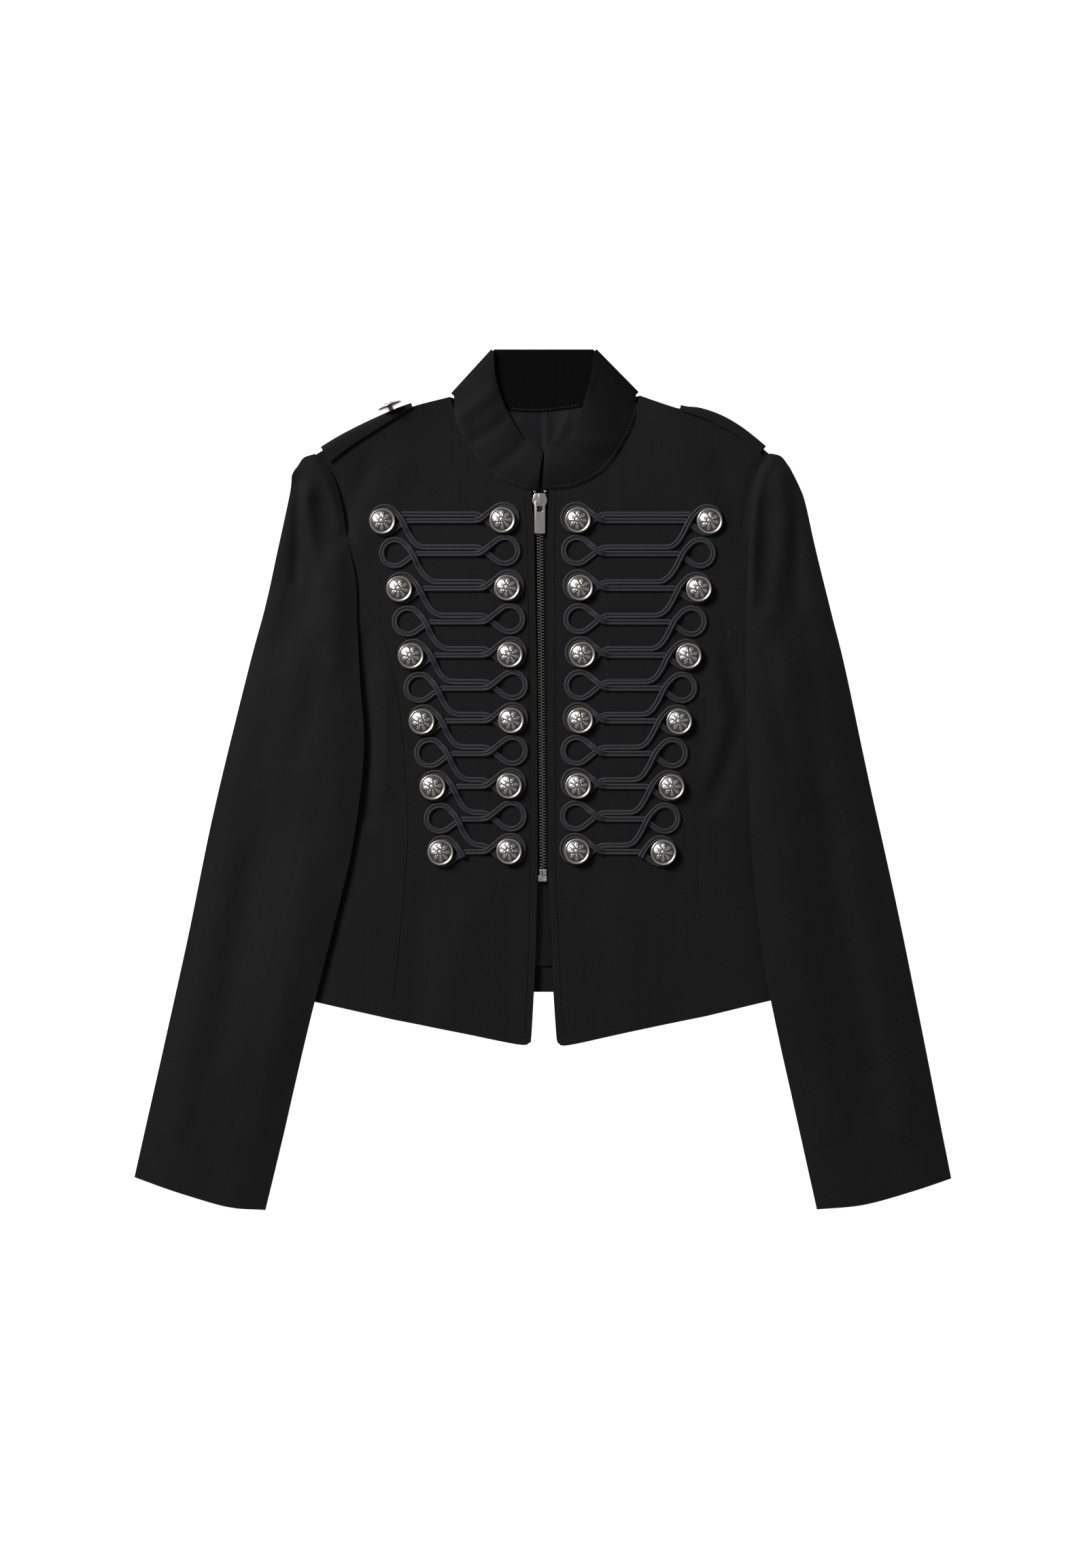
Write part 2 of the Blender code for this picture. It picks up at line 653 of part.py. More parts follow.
def braid_route(side):
    """The cord's route as (x, y, level): level 1 is where it crosses over itself."""
    zipward = -side.sign
    route = []
    last = len(ROW_Y) - 1
    lean = math.asin(RING / NECK_CROSSING)
    for row, y in enumerate(ROW_Y):
        inner = (side.ring_inner[row], y)
        outer = (side.ring_outer[row], y - OUTER_DROP)
        if row == 0:
            route.append((outer[0] + zipward * 14.0, y + PAIR, 0.0))
        else:
            above = (side.ring_outer[row - 1], ROW_Y[row - 1] - OUTER_DROP)
            route.append((above[0] + zipward * 32.0, y + PAIR, 0.0))
        route.append((inner[0] - zipward * 22.0, y + PAIR, 0.0))
        route.append((inner[0] - zipward * NECK_CROSSING, y, 0.0))
        around = 90 + math.degrees(lean)
        route += ring_points(inner, zipward, -around, around)
        for distance, level in ((9.5, 0.0), (5.0, 1.0), (0.0, 1.0)):
            out = NECK_CROSSING - distance * math.cos(lean)
            route.append((inner[0] - zipward * out, y + distance * math.sin(lean), level))
        route.append((inner[0] - zipward * 19.8, y - 2.0, 1.0))
        route.append((inner[0] - zipward * 25.0, y - PAIR, 0.0))
        route.append((outer[0] + zipward * OUTER_TURN, y - PAIR, 0.0))
        reach = math.hypot(OUTER_TURN, OUTER_DROP - PAIR)
        tilt = math.degrees(math.acos(RING / reach) - math.asin((OUTER_DROP - PAIR) / reach))
        route += ring_points(outer, zipward, -tilt, -320)
        steps = DIAGONAL if row < last else DIAGONAL[:2]
        route += [(outer[0] + zipward * a, outer[1] + b, level) for a, b, level in steps]
    return route


def build_braid(side, body, finish):
    base, top, high = BRAID_WIDTH / 2, BRAID_TOP / 2, BRAID_HIGH
    section = ((-base, 0), (base, 0), (top, high), (-top, high))
    path = []
    for x, y, level in braid_route(side):
        ground = body.highest(x, y, base, base)
        path.append((x, y, ground + GAP + level * (BRAID_HIGH + GAP)))
    return sweep("braid_" + side.name, path, section, finish)


def button_mesh(finish):
    """A domed shank button, turned about +Z from its shank's foot at the origin."""
    bm = bmesh.new()
    profile = ((0.0, 0.0), *BUTTON_PROFILE)
    verts = [bm.verts.new(Vector((radius, 0, high)) * MM) for radius, high in profile]
    edges = [bm.edges.new(pair) for pair in zip(verts, verts[1:])]
    bmesh.ops.spin(
        bm, geom=verts + edges, cent=(0, 0, 0), axis=(0, 0, 1), angle=2 * math.pi,
        steps=BUTTON_SIDES, use_merge=True,
    )
    bmesh.ops.remove_doubles(bm, verts=bm.verts[:], dist=0.01 * MM)
    bmesh.ops.recalc_face_normals(bm, faces=bm.faces[:])
    mesh = bpy.data.meshes.new("button")
    bm.to_mesh(mesh)
    bm.free()
    mesh.materials.append(finish)
    mesh.shade_smooth()
    mesh.set_sharp_from_angle(angle=math.radians(40))
    return mesh


def place_button(name, mesh, spot, tilt=0.0, heading=0.0):
    made = bpy.data.objects.new(name, mesh)
    made.location = Vector(spot) * MM
    made.rotation_euler = (tilt, 0, heading)
    bpy.context.scene.collection.objects.link(made)
    return made


STRAP_BUTTON = (-125.0, 306.2)
STRAP_BUTTON_HIGH = 11.3


def build_buttons(bodies, finish):
    mesh = button_mesh(finish)
    made = []
    for side in SIDES:
        for k in range(BUTTON_ROWS):
            row = 2 * k
            spots = {
                "outer": (side.ring_outer[row] + side.sign * 2.0, ROW_Y[row] - OUTER_DROP - 1.0),
                "inner": (side.ring_inner[row] + side.sign * 1.3, ROW_Y[row] - 2.0),
            }
            for place, (x, y) in spots.items():
                ground = bodies[side.name].highest(x, y, 3, 3)
                name = f"button_{side.name}_{place}_{k + 1}"
                made.append(place_button(name, mesh, (x, y, ground + GAP)))
    shoulder = SEAMS["left"].shoulder
    outward = Vector((shoulder[2].y - shoulder[1].y, shoulder[1].x - shoulder[2].x)).normalized()
    foot = foot_on(shoulder, Vector(STRAP_BUTTON))
    foot += outward * (STRAP + STRAP_CLEAR + STRAP_FOLD + GAP)
    heading = math.atan2(outward.y, outward.x) + math.pi / 2
    made.append(
        place_button("button_strap", mesh, (foot.x, foot.y, STRAP_BUTTON_HIGH), math.pi / 2, heading)
    )
    return made


def chain_x(y):
    """Middle of the zip chain, which leans a little."""
    t = (y - CHAIN_TOP[1]) / (CHAIN_FOOT[1] - CHAIN_TOP[1])
    return CHAIN_TOP[0] + (CHAIN_FOOT[0] - CHAIN_TOP[0]) * t


def build_zip(tape_finish, metal):
    made = []
    for side in SIDES:
        sign = side.sign
        near, far = CHAIN_WIDE / 2 + GAP, 13.0
        stations = ((-85.0, 4.4), (-74.5, 4.4), (-73.0, near), (80.0, near), (241.0, near))
        columns = [
            [Vector((chain_x(y) + sign * inside, y)), Vector((chain_x(y) + sign * far, y))]
            for y, inside in stations
        ]
        made.append(cloth_wall(
            "zip_tape_" + side.name, columns, heights_of(columns, lambda _: TAPE_LOW), TAPE, tape_finish
        ))
        half = CHAIN_WIDE / 2
        ends = [
            (chain_x(y) + sign * x, y)
            for x, y in ((SEAM, CHAIN_FOOT[1]), (half, CHAIN_FOOT[1]), (half, CHAIN_TOP[1]),
                         (SEAM, CHAIN_TOP[1]))
        ]
        made.append(extruded("zip_chain_" + side.name, ends, CHAIN_LOW, CHAIN_HIGH, metal))
        stop_x = SLIDER_CENTRE[0] + sign * 4.6
        made.append(extruded(
            "zip_stop_" + side.name, box_outline(stop_x - 1.2, stop_x + 1.2, 241.35, 243.0),
            TAPE_LOW, 2.4, metal,
        ))
    foot = CHAIN_FOOT[1] - GAP
    x = chain_x(foot)
    for name, x0, x1 in (("zip_pin_left", -2.9, -0.9), ("zip_pin_right", -0.4, 2.9)):
        made.append(extruded(
            name, box_outline(x + x0, x + x1, -79.4, foot), CHAIN_LOW, CHAIN_HIGH, metal
        ))
    box = extruded("zip_box", box_outline(x - 4.1, x + 3.2, -84.8, -79.75), BASE_LOW, 3.5, metal)
    window = extruded("zip_box_window", box_outline(x - 2.8, x + 1.9, -83.5, -81.0), 5.6, 3.0, metal)
    combine(box, window, "DIFFERENCE")
    made.append(box)
    return made


def slider_outline(scale=1.0):
    """Half-widths of the slider's plate from its wide shoulders down to its mouth."""
    halves = ((5.4, -3.9), (5.6, -4.3), (1.5, -5.9), (-1.5, -6.2), (-4.2, -5.0), (-5.4, -4.2))
    x, y = SLIDER_CENTRE
    left = [(x + wide * scale, y + along) for along, wide in halves[1:]]
    right = [(x - wide * scale, y + along) for along, wide in reversed(halves[1:])]
    return left + right


def build_slider(metal):
    """Top and base plates joined by a diamond, with a bridge that holds the pull."""
    x, y = SLIDER_CENTRE
    slider = extruded("zip_slider", slider_outline(), PLATE_LOW, PLATE_HIGH, metal)
    base = extruded("slider_base", slider_outline(0.92), BASE_LOW, BASE_HIGH, metal)
    post_low = BASE_LOW + 0.1
    diamond = ((x, y - 0.9), (x + 1.5, y + 2.5), (x, y + 5.0), (x - 1.5, y + 2.5))
    post = extruded("slider_diamond", diamond, post_low, PLATE_LOW + 0.5 - post_low, metal)
    bar = box_outline(x - 1.1, x + 1.1, y - 4.6, y + 4.6)
    bridge = extruded("slider_bridge", bar, PLATE_LOW + 0.5, 10.4 - PLATE_LOW - 0.5, metal)
    eye = extruded(
        "slider_eye", box_outline(x - 2, x + 2, y - 3.4, y + 3.4),
        PLATE_LOW + PLATE_HIGH, 9.4 - PLATE_LOW - PLATE_HIGH, metal,
    )
    combine(bridge, eye, "DIFFERENCE")
    for piece in (post, base, bridge):
        combine(slider, piece, "UNION")
    return slider


def build_pull(metal):
    """The pull tab: its crossbar lies under the bridge, on the joint's axis."""
    x = SLIDER_CENTRE[0]
    outline = (
        (-3.6, 0.6), (3.6, 0.6), (PULL_WIDE / 2, -0.8), (PULL_WIDE / 2, 0.9 - PULL_LENGTH),
        (PULL_WIDE / 2 - 0.6, 0.3 - PULL_LENGTH), (0.6 - PULL_WIDE / 2, 0.3 - PULL_LENGTH),
        (-PULL_WIDE / 2, 0.9 - PULL_LENGTH), (-PULL_WIDE / 2, -0.8),
    )
    pull = extruded("zip_pull", outline, -PULL_THICK / 2, PULL_THICK, metal)
    window = extruded("pull_window", box_outline(-2.3, 2.3, -8.4, -0.6), -2, 4, metal)
    combine(pull, window, "DIFFERENCE")
    for piece in (pull, window):
        piece.location = Vector((x, HINGE_Y, HINGE_Z)) * MM
    return pull


def main():
    for old in list(bpy.data.objects):
        bpy.data.objects.remove(old, do_unlink=True)
    twill = material("charcoal_twill", (0.012, 0.012, 0.014), 0.85)
    satin = material("black_satin", (0.02, 0.02, 0.022), 0.4)
    soutache = material("black_soutache", (0.025, 0.025, 0.027), 0.7)
    tape = material("zip_tape", (0.008, 0.008, 0.009), 0.9)
    nickel = material("polished_nickel", (0.75, 0.74, 0.72), 0.25, 1.0)
    silver = material("antique_silver", (0.6, 0.59, 0.57), 0.3, 1.0)

    pieces = [build_back(twill), build_lining(satin)]
    bodies = {}
    for side in SIDES:
        panels = [build_front(side, twill), build_side_front(side, twill)]
        bodies[side.name] = Surface(*panels)
        pieces += panels
    for side in SIDES:
        body = bodies[side.name]
        under = build_under_sleeve(side, body, twill)
        upper = build_top_sleeve(side, body, Surface(under), twill)
        strap = build_strap(side, body, Surface(pieces[0]), twill)
        braid = build_braid(side, body, soutache)
        pieces += [under, upper, strap, braid]
    pieces.append(build_collar(twill))
    pieces += build_buttons(bodies, silver)
    pieces += build_zip(tape, nickel)
    pieces += [build_slider(nickel), build_pull(nickel)]

    blazer = bpy.data.objects.new("blazer", None)
    bpy.context.scene.collection.objects.link(blazer)
    for piece in pieces:
        piece.parent = blazer


main()
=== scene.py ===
"""Looks of a fitted, cropped dress blazer that lies flat on its back.

Each sub-assembly is a class: cloth panels, sleeves, collar, straps, braid, zip and buttons. Its
pieces stand for the CAD nodes of the same name. Tables are in millimetres, meshes in metres.
"""

from __future__ import annotations

import logging
import math
from dataclasses import dataclass, field
from enum import Enum
from typing import Sequence

import bmesh
import bpy
from mathutils import Matrix, Vector, noise
from mathutils.bvhtree import BVHTree


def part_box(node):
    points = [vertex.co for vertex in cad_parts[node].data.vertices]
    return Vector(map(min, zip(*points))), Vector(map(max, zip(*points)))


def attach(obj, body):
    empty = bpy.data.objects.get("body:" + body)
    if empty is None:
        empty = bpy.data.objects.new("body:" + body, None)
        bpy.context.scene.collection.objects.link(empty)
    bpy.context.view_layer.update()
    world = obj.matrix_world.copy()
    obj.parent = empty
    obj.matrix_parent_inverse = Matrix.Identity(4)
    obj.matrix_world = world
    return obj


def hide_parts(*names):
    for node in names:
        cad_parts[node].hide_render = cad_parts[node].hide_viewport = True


MM = 0.001
# Where downward rays start, and the height that misses look round, in millimetres
RAY_START = 500
MID_HEIGHT = 12
LOG = logging.getLogger("blazer")
Guides = Sequence[tuple[float, float]]
Grid = list[list[Vector]]


class Hand(Enum):
    """The viewer's left or right half, with the sign of X there."""

    LEFT = -1
    RIGHT = 1

    @property
    def word(self) -> str:
        """The half's name in node names."""
        return self.name.lower()


class Body(Enum):
    """The two moving bodies of the CAD part."""

    GARMENT = "garment"
    PULL = "pull_tab"


@dataclass(frozen=True)
class Half:
    """Seams and braid places of one half, in millimetres."""

    hand: Hand
    centre_edge: Guides
    neck: Guides
    shoulder: Guides
    armhole: Guides
    underarm: Guides
    princess: Guides
    side_seam: Guides
    hem_front: Guides
    hem_side: Guides
    cap: Guides
    outer: Guides
    inner: Guides
    cuff: Guides
    ring_inner: Sequence[float]
    ring_outer: Sequence[float]
    strap: Sequence[tuple[float, float, float, float]]
    collar_top: Guides
    collar_centre: tuple[float, float]
    collar_corner: tuple[float, float]


LEFT = Half(
    hand=Hand.LEFT,
    centre_edge=((-9.7, -219.5), (-8.4, -200), (-5.7, -144), (-4.6, -87), (-4.2, -53), (-4.8, 84),
                 (-6.3, 164), (-7.1, 209), (-8.6, 229), (-9.1, 243.2)),
    neck=((-9.1, 243.2), (-16.5, 244.8), (-38.2, 253.4), (-57.6, 272.7), (-71.8, 299), (-77.5, 321.5)),
    shoulder=((-77.5, 321.5), (-110, 312.5), (-140, 300), (-168, 286), (-190, 272.5)),
    armhole=((-190, 272.5), (-180, 261), (-174, 250), (-169, 232), (-165.3, 210)),
    underarm=((-165.3, 210), (-166, 172), (-176, 135), (-203, 92)),
    princess=((-126, -200.4), (-115, -80), (-113, -32), (-119, 54), (-129.4, 107), (-144.8, 140.5),
              (-166, 172)),
    side_seam=((-212, -181), (-196, -110), (-188, -40), (-194, 30), (-203, 92)),
    hem_front=((-126, -200.4), (-70, -211.5), (-20, -221.5), (-9.7, -219.5)),
    hem_side=((-212, -181), (-170, -190.5), (-126, -200.4)),
    cap=((-205, 263), (-200, 270), (-190.5, 273.4)),
    outer=((-205, 263), (-210, 256), (-211.5, 241), (-223, 188.5), (-232.6, 145.6), (-246.8, 92.6),
           (-276, -27), (-300, -143), (-342.5, -333)),
    inner=((-165.3, 210), (-156.5, 168), (-155.2, 131), (-152.8, 83), (-149.5, 24), (-158.5, -51.6),
           (-172.7, -113.7), (-191, -186), (-204, -238.5), (-216, -291.6), (-232.6, -360.5)),
    cuff=((-342.5, -333), (-303, -346.5), (-264, -357.7), (-232.6, -360.5)),
    ring_inner=(-32.5, -31.4, -28.5, -27.4, -26.2, -25.1, -25.1, -25.1, -26.8, -26.2, -26.8),
    ring_outer=(-132.2, -123.7, -118.0, -112.9, -108.3, -103.1, -99.2, -94.3, -90.1, -86.0, -83.4),
    strap=((-109.0, 313.2, 0.6, 0.6), (-122.0, 307.9, 3.4, 11.0), (-141.0, 299.5, 6.4, 12.5),
           (-166.0, 287.1, 9.5, 14.5), (-184.0, 276.2, 12.0, 16.0)),
    collar_top=((0.6, 275.5), (-5.7, 281.3), (-16.5, 287), (-24.5, 300), (-33.5, 317.5), (-39.2, 337),
                (-40.8, 359.4)),
    collar_centre=(-4.6, 243.8),
    collar_corner=(-74.4, 322.6),
)

RIGHT = Half(
    hand=Hand.RIGHT,
    centre_edge=((12.6, -220), (11.4, -213), (8.7, -171), (7.1, -128.5), (4.9, -87), (4.8, -53),
                 (4.6, 84), (4.0, 164), (3.9, 209.5), (4.8, 229.5), (5.6, 243.6)),
    neck=((5.6, 243.6), (29.1, 247.1), (53, 260.8), (69.5, 284.7), (78, 304), (81.5, 322.5)),
    shoulder=((81.5, 322.5), (115, 311), (132, 308.5), (150, 302), (168, 291), (190, 273)),
    armhole=((190, 273), (185.8, 268.5), (180, 257.4), (175, 235), (172.9, 208)),
    underarm=((172.9, 208), (178, 163), (186, 125), (203, 92)),
    princess=((137.9, -197.5), (134.5, -161.6), (130.5, -99.5), (128.3, -27), (133.4, 54.4),
              (146.5, 102.3), (165, 145), (178, 163)),
    side_seam=((212, -181), (198, -110), (191, -40), (194, 30), (203, 92)),
    hem_front=((137.9, -197.5), (75, -210.5), (22, -222.0), (12.6, -220)),
    hem_side=((212, -181), (192, -184.5), (137.9, -197.5)),
    cap=((206.9, 262), (200, 271), (190.6, 273.8)),
    outer=((206.9, 262), (214.9, 246.5), (220, 232.8), (228, 198), (242.3, 140.5), (254.2, 92.6),
           (273.6, 1.4), (302, -128), (343, -334)),
    inner=((172.9, 208), (171.0, 150), (170.4, 92.6), (172.1, 20.8), (175, -51.6), (182.4, -128),
           (191, -183.3), (208.6, -262.5), (230.3, -360.0)),
    cuff=((343, -334), (306, -346), (269, -356), (230.3, -360.0)),
    ring_inner=(28.2, 28.8, 30.2, 30.8, 31.9, 31.4, 30.2, 28.5, 28.5, 27.9, 27.4),
    ring_outer=(137.9, 132.2, 128.8, 124.8, 120.3, 116.8, 112.3, 109.0, 106.0, 102.6, 99.2),
    strap=((115.0, 311.0, 0.6, 0.6), (127.0, 309.0, 3.6, 11.0), (139.6, 306.4, 4.9, 11.8),
           (151.0, 301.0, 6.0, 12.5), (168.5, 290.7, 4.5, 14.0), (185.0, 277.1, 4.5, 15.0)),
    collar_top=((1.9, 276.0), (5.9, 282.2), (22.2, 288.4), (29.5, 299), (35.8, 320.5), (41.2, 342),
                (43.2, 359.4)),
    collar_centre=(-0.2, 244.4),
    collar_corner=(78.4, 323.6),
)

HALVES = (LEFT, RIGHT)
BACK_NECK: Guides = (
    (-77.5, 321.5), (-52, 314.5), (-26.2, 309.8), (-1.7, 308.7), (33.6, 313.0), (60, 318), (81.5, 322.5)
)
ROW_Y = (220.0, 192.4, 163.3, 135.1, 107.2, 79.6, 52.2, 24.8, -2.6, -30.0, -57.4)


def smooth_line(guides: Guides, steps: int) -> list[Vector]:
    """Lays points at equal spacing on a smooth curve.

    Args:
        guides: Points that the curve goes through.
        steps: How many equal stretches it is divided into.

    Returns:
        One point more than there are steps.
    """
    points = [Vector(guide[:2]) for guide in guides]
    ends = [2 * points[0] - points[1], *points, 2 * points[-1] - points[-2]]
    dense = []
    for a, b, c, d in zip(ends, ends[1:], ends[2:], ends[3:]):
        for k in range(16):
            t = k / 16
            dense.append(
                0.5 * (2 * b + (c - a) * t + (2 * a - 5 * b + 4 * c - d) * t**2
                       + (3 * b - a - 3 * c + d) * t**3)
            )
    dense.append(points[-1])
    return spaced(dense, steps)


def spaced(line: Sequence[Vector], steps: int) -> list[Vector]:
    """Divides a line of points into equal stretches.

    Args:
        line: Points in two or three dimensions.
        steps: How many stretches.

    Returns:
        The points between and at the ends of the stretches.
    """
    lengths = [0.0]
    for a, b in zip(line, line[1:]):
        lengths.append(lengths[-1] + (b - a).length)
    result = []
    place = 0
    for k in range(steps + 1):
        want = lengths[-1] * k / steps
        while place < len(line) - 2 and lengths[place + 1] < want:
            place += 1
        span = max(lengths[place + 1] - lengths[place], 1e-9)
        result.append(line[place].lerp(line[place + 1], min((want - lengths[place]) / span, 1.0)))
    return result


def joined(*lines: Sequence[Vector]) -> list[Vector]:
    """Chains lines end to end, with each shared point kept once.

    Args:
        lines: Lines of points, each starting where the last one ends.

    Returns:
        One line.
    """
    result = list(lines[0])
    for line in lines[1:]:
        result += line[1:]
    return result


def foot_on(line: Sequence[Vector], point: Vector) -> Vector:
    """Finds the point of a line that is nearest to a given one.

    Args:
        line: The line's points.
        point: Where from.

    Returns:
        The nearest point on the line.
    """
    feet = []
    for a, b in zip(line, line[1:]):
        along = b - a
        t = max(0.0, min(1.0, (point - a).dot(along) / max(along.length_squared, 1e-9)))
        feet.append(a + along * t)
    return min(feet, key=lambda foot: (foot - point).length)


def ease(t: float) -> float:
    """Rises smoothly from 0 to 1 as t does."""
    t = max(0.0, min(1.0, t))
    return t * t * (3 - 2 * t)


def coons(bottom: list[Vector], top: list[Vector], left: list[Vector], right: list[Vector]) -> Grid:
    """Fills a grid of plan points in from its four edges.

    Args:
        bottom: The lower edge, from left to right.
        top: The upper edge, from left to right.
        left: The left edge, from bottom to top.
        right: The right edge, from bottom to top.

    Returns:
        Rows of points from bottom to top.
    """
    columns, rows = len(bottom) - 1, len(left) - 1
    grid = []
    for j in range(rows + 1):
        v = j / rows
        row = []
        for i in range(columns + 1):
            u = i / columns
            corner = (
                bottom[0] * (1 - u) * (1 - v) + bottom[-1] * u * (1 - v)
                + top[0] * (1 - u) * v + top[-1] * u * v
            )
            row.append(
                bottom[i] * (1 - v) + top[i] * v + left[j] * (1 - u) + right[j] * u - corner
            )
        grid.append(row)
    return grid


def linear(code: str) -> tuple[float, float, float, float]:
    """Turns an sRGB hex colour into linear RGBA."""
    channels = [int(code[k:k + 2], 16) / 255 for k in (1, 3, 5)]
    red, green, blue = (c / 12.92 if c <= 0.04045 else ((c + 0.055) / 1.055) ** 2.4 for c in channels)
    return red, green, blue, 1.0


def add_node(
    tree: bpy.types.NodeTree, kind: str, settings: dict | None = None, links: dict | None = None
) -> bpy.types.Node:
    """Adds one shader node.

    Args:
        tree: The material's node tree.
        kind: The node's class name.
        settings: Values by property name, or by input socket name or number.
        links: Source sockets by input socket name or number.

    Returns:
        The new node.
    """
    made = tree.nodes.new(kind)
    for key, value in (settings or {}).items():
        if isinstance(key, str) and hasattr(made, key):
            setattr(made, key, value)
        else:
            made.inputs[key].default_value = value
    for key, source in (links or {}).items():
        tree.links.new(source, made.inputs[key])
    return made


def two_tone(
    tree: bpy.types.NodeTree, dark: str, light: str, share: bpy.types.NodeSocket
) -> bpy.types.NodeSocket:
    """Blends two colours.

    Args:
        tree: The material's node tree.
        dark: Hex colour where the share is 0.
        light: Hex colour where the share is 1.
        share: The socket that gives the share.

    Returns:
        The blended colour's socket.
    """
    return add_node(
        tree, "ShaderNodeMix", {"data_type": "RGBA", 6: linear(dark), 7: linear(light)}, {0: share}
    ).outputs[2]


def add_bump(
    tree: bpy.types.NodeTree, shader: bpy.types.Node, strength: float, depth: float,
    height: bpy.types.NodeSocket,
) -> None:
    """Gives a shader fine relief.

    Args:
        tree: The material's node tree.
        shader: Its Principled shader.
        strength: How much of the relief shows.
        depth: Depth of the relief in millimetres.
        height: The socket that gives the height.
    """
    bump = add_node(
        tree, "ShaderNodeBump", {"Strength": strength, "Distance": depth * MM}, {"Height": height}
    )
    tree.links.new(bump.outputs[0], shader.inputs["Normal"])


def new_material(name: str) -> tuple[bpy.types.Material, bpy.types.NodeTree, bpy.types.Node]:
    """Starts a material.

    Args:
        name: The finish's name.

    Returns:
        The material, its node tree and its Principled shader.
    """
    made = bpy.data.materials.new(name)
    made.use_nodes = True
    return made, made.node_tree, made.node_tree.nodes["Principled BSDF"]


@dataclass(frozen=True)
class WovenCloth:
    """A woven cloth on the piece's own UV map, in metres along the grain.

    A vertex attribute runs to 1 where painted shade darkens the colour, sheen and gloss.
    """

    name: str
    shade: str
    light: str
    pitch: float
    roughness: float
    sheen: float
    slant: float = 58.0
    relief: float = 0.35
    lines: float = 0.45
    gloss: float = 0.06
    laid_on: str = "UV"

    def build(self) -> bpy.types.Material:
        """Makes the weave: slanted ribs, fibre noise, broad uneven tone, and painted shade.

        Returns:
            The material.
        """
        made, tree, shader = new_material(self.name)
        shader.inputs["Roughness"].default_value = self.roughness
        shader.inputs["Sheen Roughness"].default_value = 0.45
        # Painted shade: the vertex attribute darkens base colour, sheen and gloss by up to 85 %.
        away = add_node(tree, "ShaderNodeAttribute", {"attribute_name": "nap"}).outputs["Fac"]
        kept = add_node(
            tree, "ShaderNodeMath", {"operation": "MULTIPLY_ADD", 1: -0.85, 2: 1.0}, {0: away}
        ).outputs[0]
        for socket, full in (("Sheen Weight", self.sheen), ("Specular IOR Level", self.gloss)):
            level = add_node(tree, "ShaderNodeMath", {"operation": "MULTIPLY", 1: full}, {0: kept})
            tree.links.new(level.outputs[0], shader.inputs[socket])
        place = add_node(tree, "ShaderNodeTexCoord").outputs[self.laid_on]
        step = 1 / (self.pitch * MM)
        ribs_at = add_node(
            tree, "ShaderNodeMapping",
            {"Rotation": (0, 0, math.radians(self.slant)), "Scale": (step, step * 0.35, step)},
            {"Vector": place},
        ).outputs[0]
        ribs = add_node(
            tree, "ShaderNodeTexWave",
            {"wave_profile": "SIN", "Scale": math.pi / 10, "Distortion": 1.1, "Detail": 1.0,
             "Detail Scale": 3.0},
            {"Vector": ribs_at},
        ).outputs["Fac"]
        fibres = add_node(
            tree, "ShaderNodeTexNoise", {"Scale": step * 0.8, "Detail": 3.0, "Roughness": 0.65},
            {"Vector": place},
        ).outputs["Fac"]
        streak_at = add_node(
            tree, "ShaderNodeMapping", {"Scale": (230.0, 11.0, 1.0)}, {"Vector": place}
        ).outputs[0]
        tone = add_node(
            tree, "ShaderNodeTexNoise", {"Scale": 1.0, "Detail": 4.0, "Roughness": 0.6},
            {"Vector": streak_at},
        ).outputs["Fac"]
        weave = add_node(
            tree, "ShaderNodeMix", {"data_type": "FLOAT", 0: 1 - self.lines}, {2: ribs, 3: fibres}
        ).outputs[0]
        both = add_node(
            tree, "ShaderNodeMix", {"data_type": "FLOAT", 0: 0.3}, {2: weave, 3: tone}
        ).outputs[0]
        color = two_tone(tree, self.shade, self.light, both)
        dimmed = add_node(
            tree, "ShaderNodeVectorMath", {"operation": "SCALE"}, {0: color, "Scale": kept}
        ).outputs[0]
        tree.links.new(dimmed, shader.inputs["Base Color"])
        add_bump(tree, shader, self.relief, 0.3, weave)
        return made


@dataclass(frozen=True)
class Satin:
    """Lining satin: smooth filament floats, so it shines along soft creases."""

    name: str = "black_lining_satin"
    shade: str = "#08080a"
    light: str = "#121214"

    def build(self) -> bpy.types.Material:
        """Makes the satin with fine lengthwise threads.

        Returns:
            The material.
        """
        made, tree, shader = new_material(self.name)
        shader.inputs["Roughness"].default_value = 0.42
        shader.inputs["Anisotropic"].default_value = 0.5
        shader.inputs["Specular IOR Level"].default_value = 0.16
        place = add_node(tree, "ShaderNodeTexCoord").outputs["UV"]
        thread_at = add_node(
            tree, "ShaderNodeMapping", {"Scale": (1800.0, 90.0, 1.0)}, {"Vector": place}
        ).outputs[0]
        threads = add_node(
            tree, "ShaderNodeTexNoise", {"Scale": 1.0, "Detail": 2.0}, {"Vector": thread_at}
        ).outputs["Fac"]
        color = two_tone(tree, self.shade, self.light, threads)
        tree.links.new(color, shader.inputs["Base Color"])
        add_bump(tree, shader, 0.12, 0.2, threads)
        return made


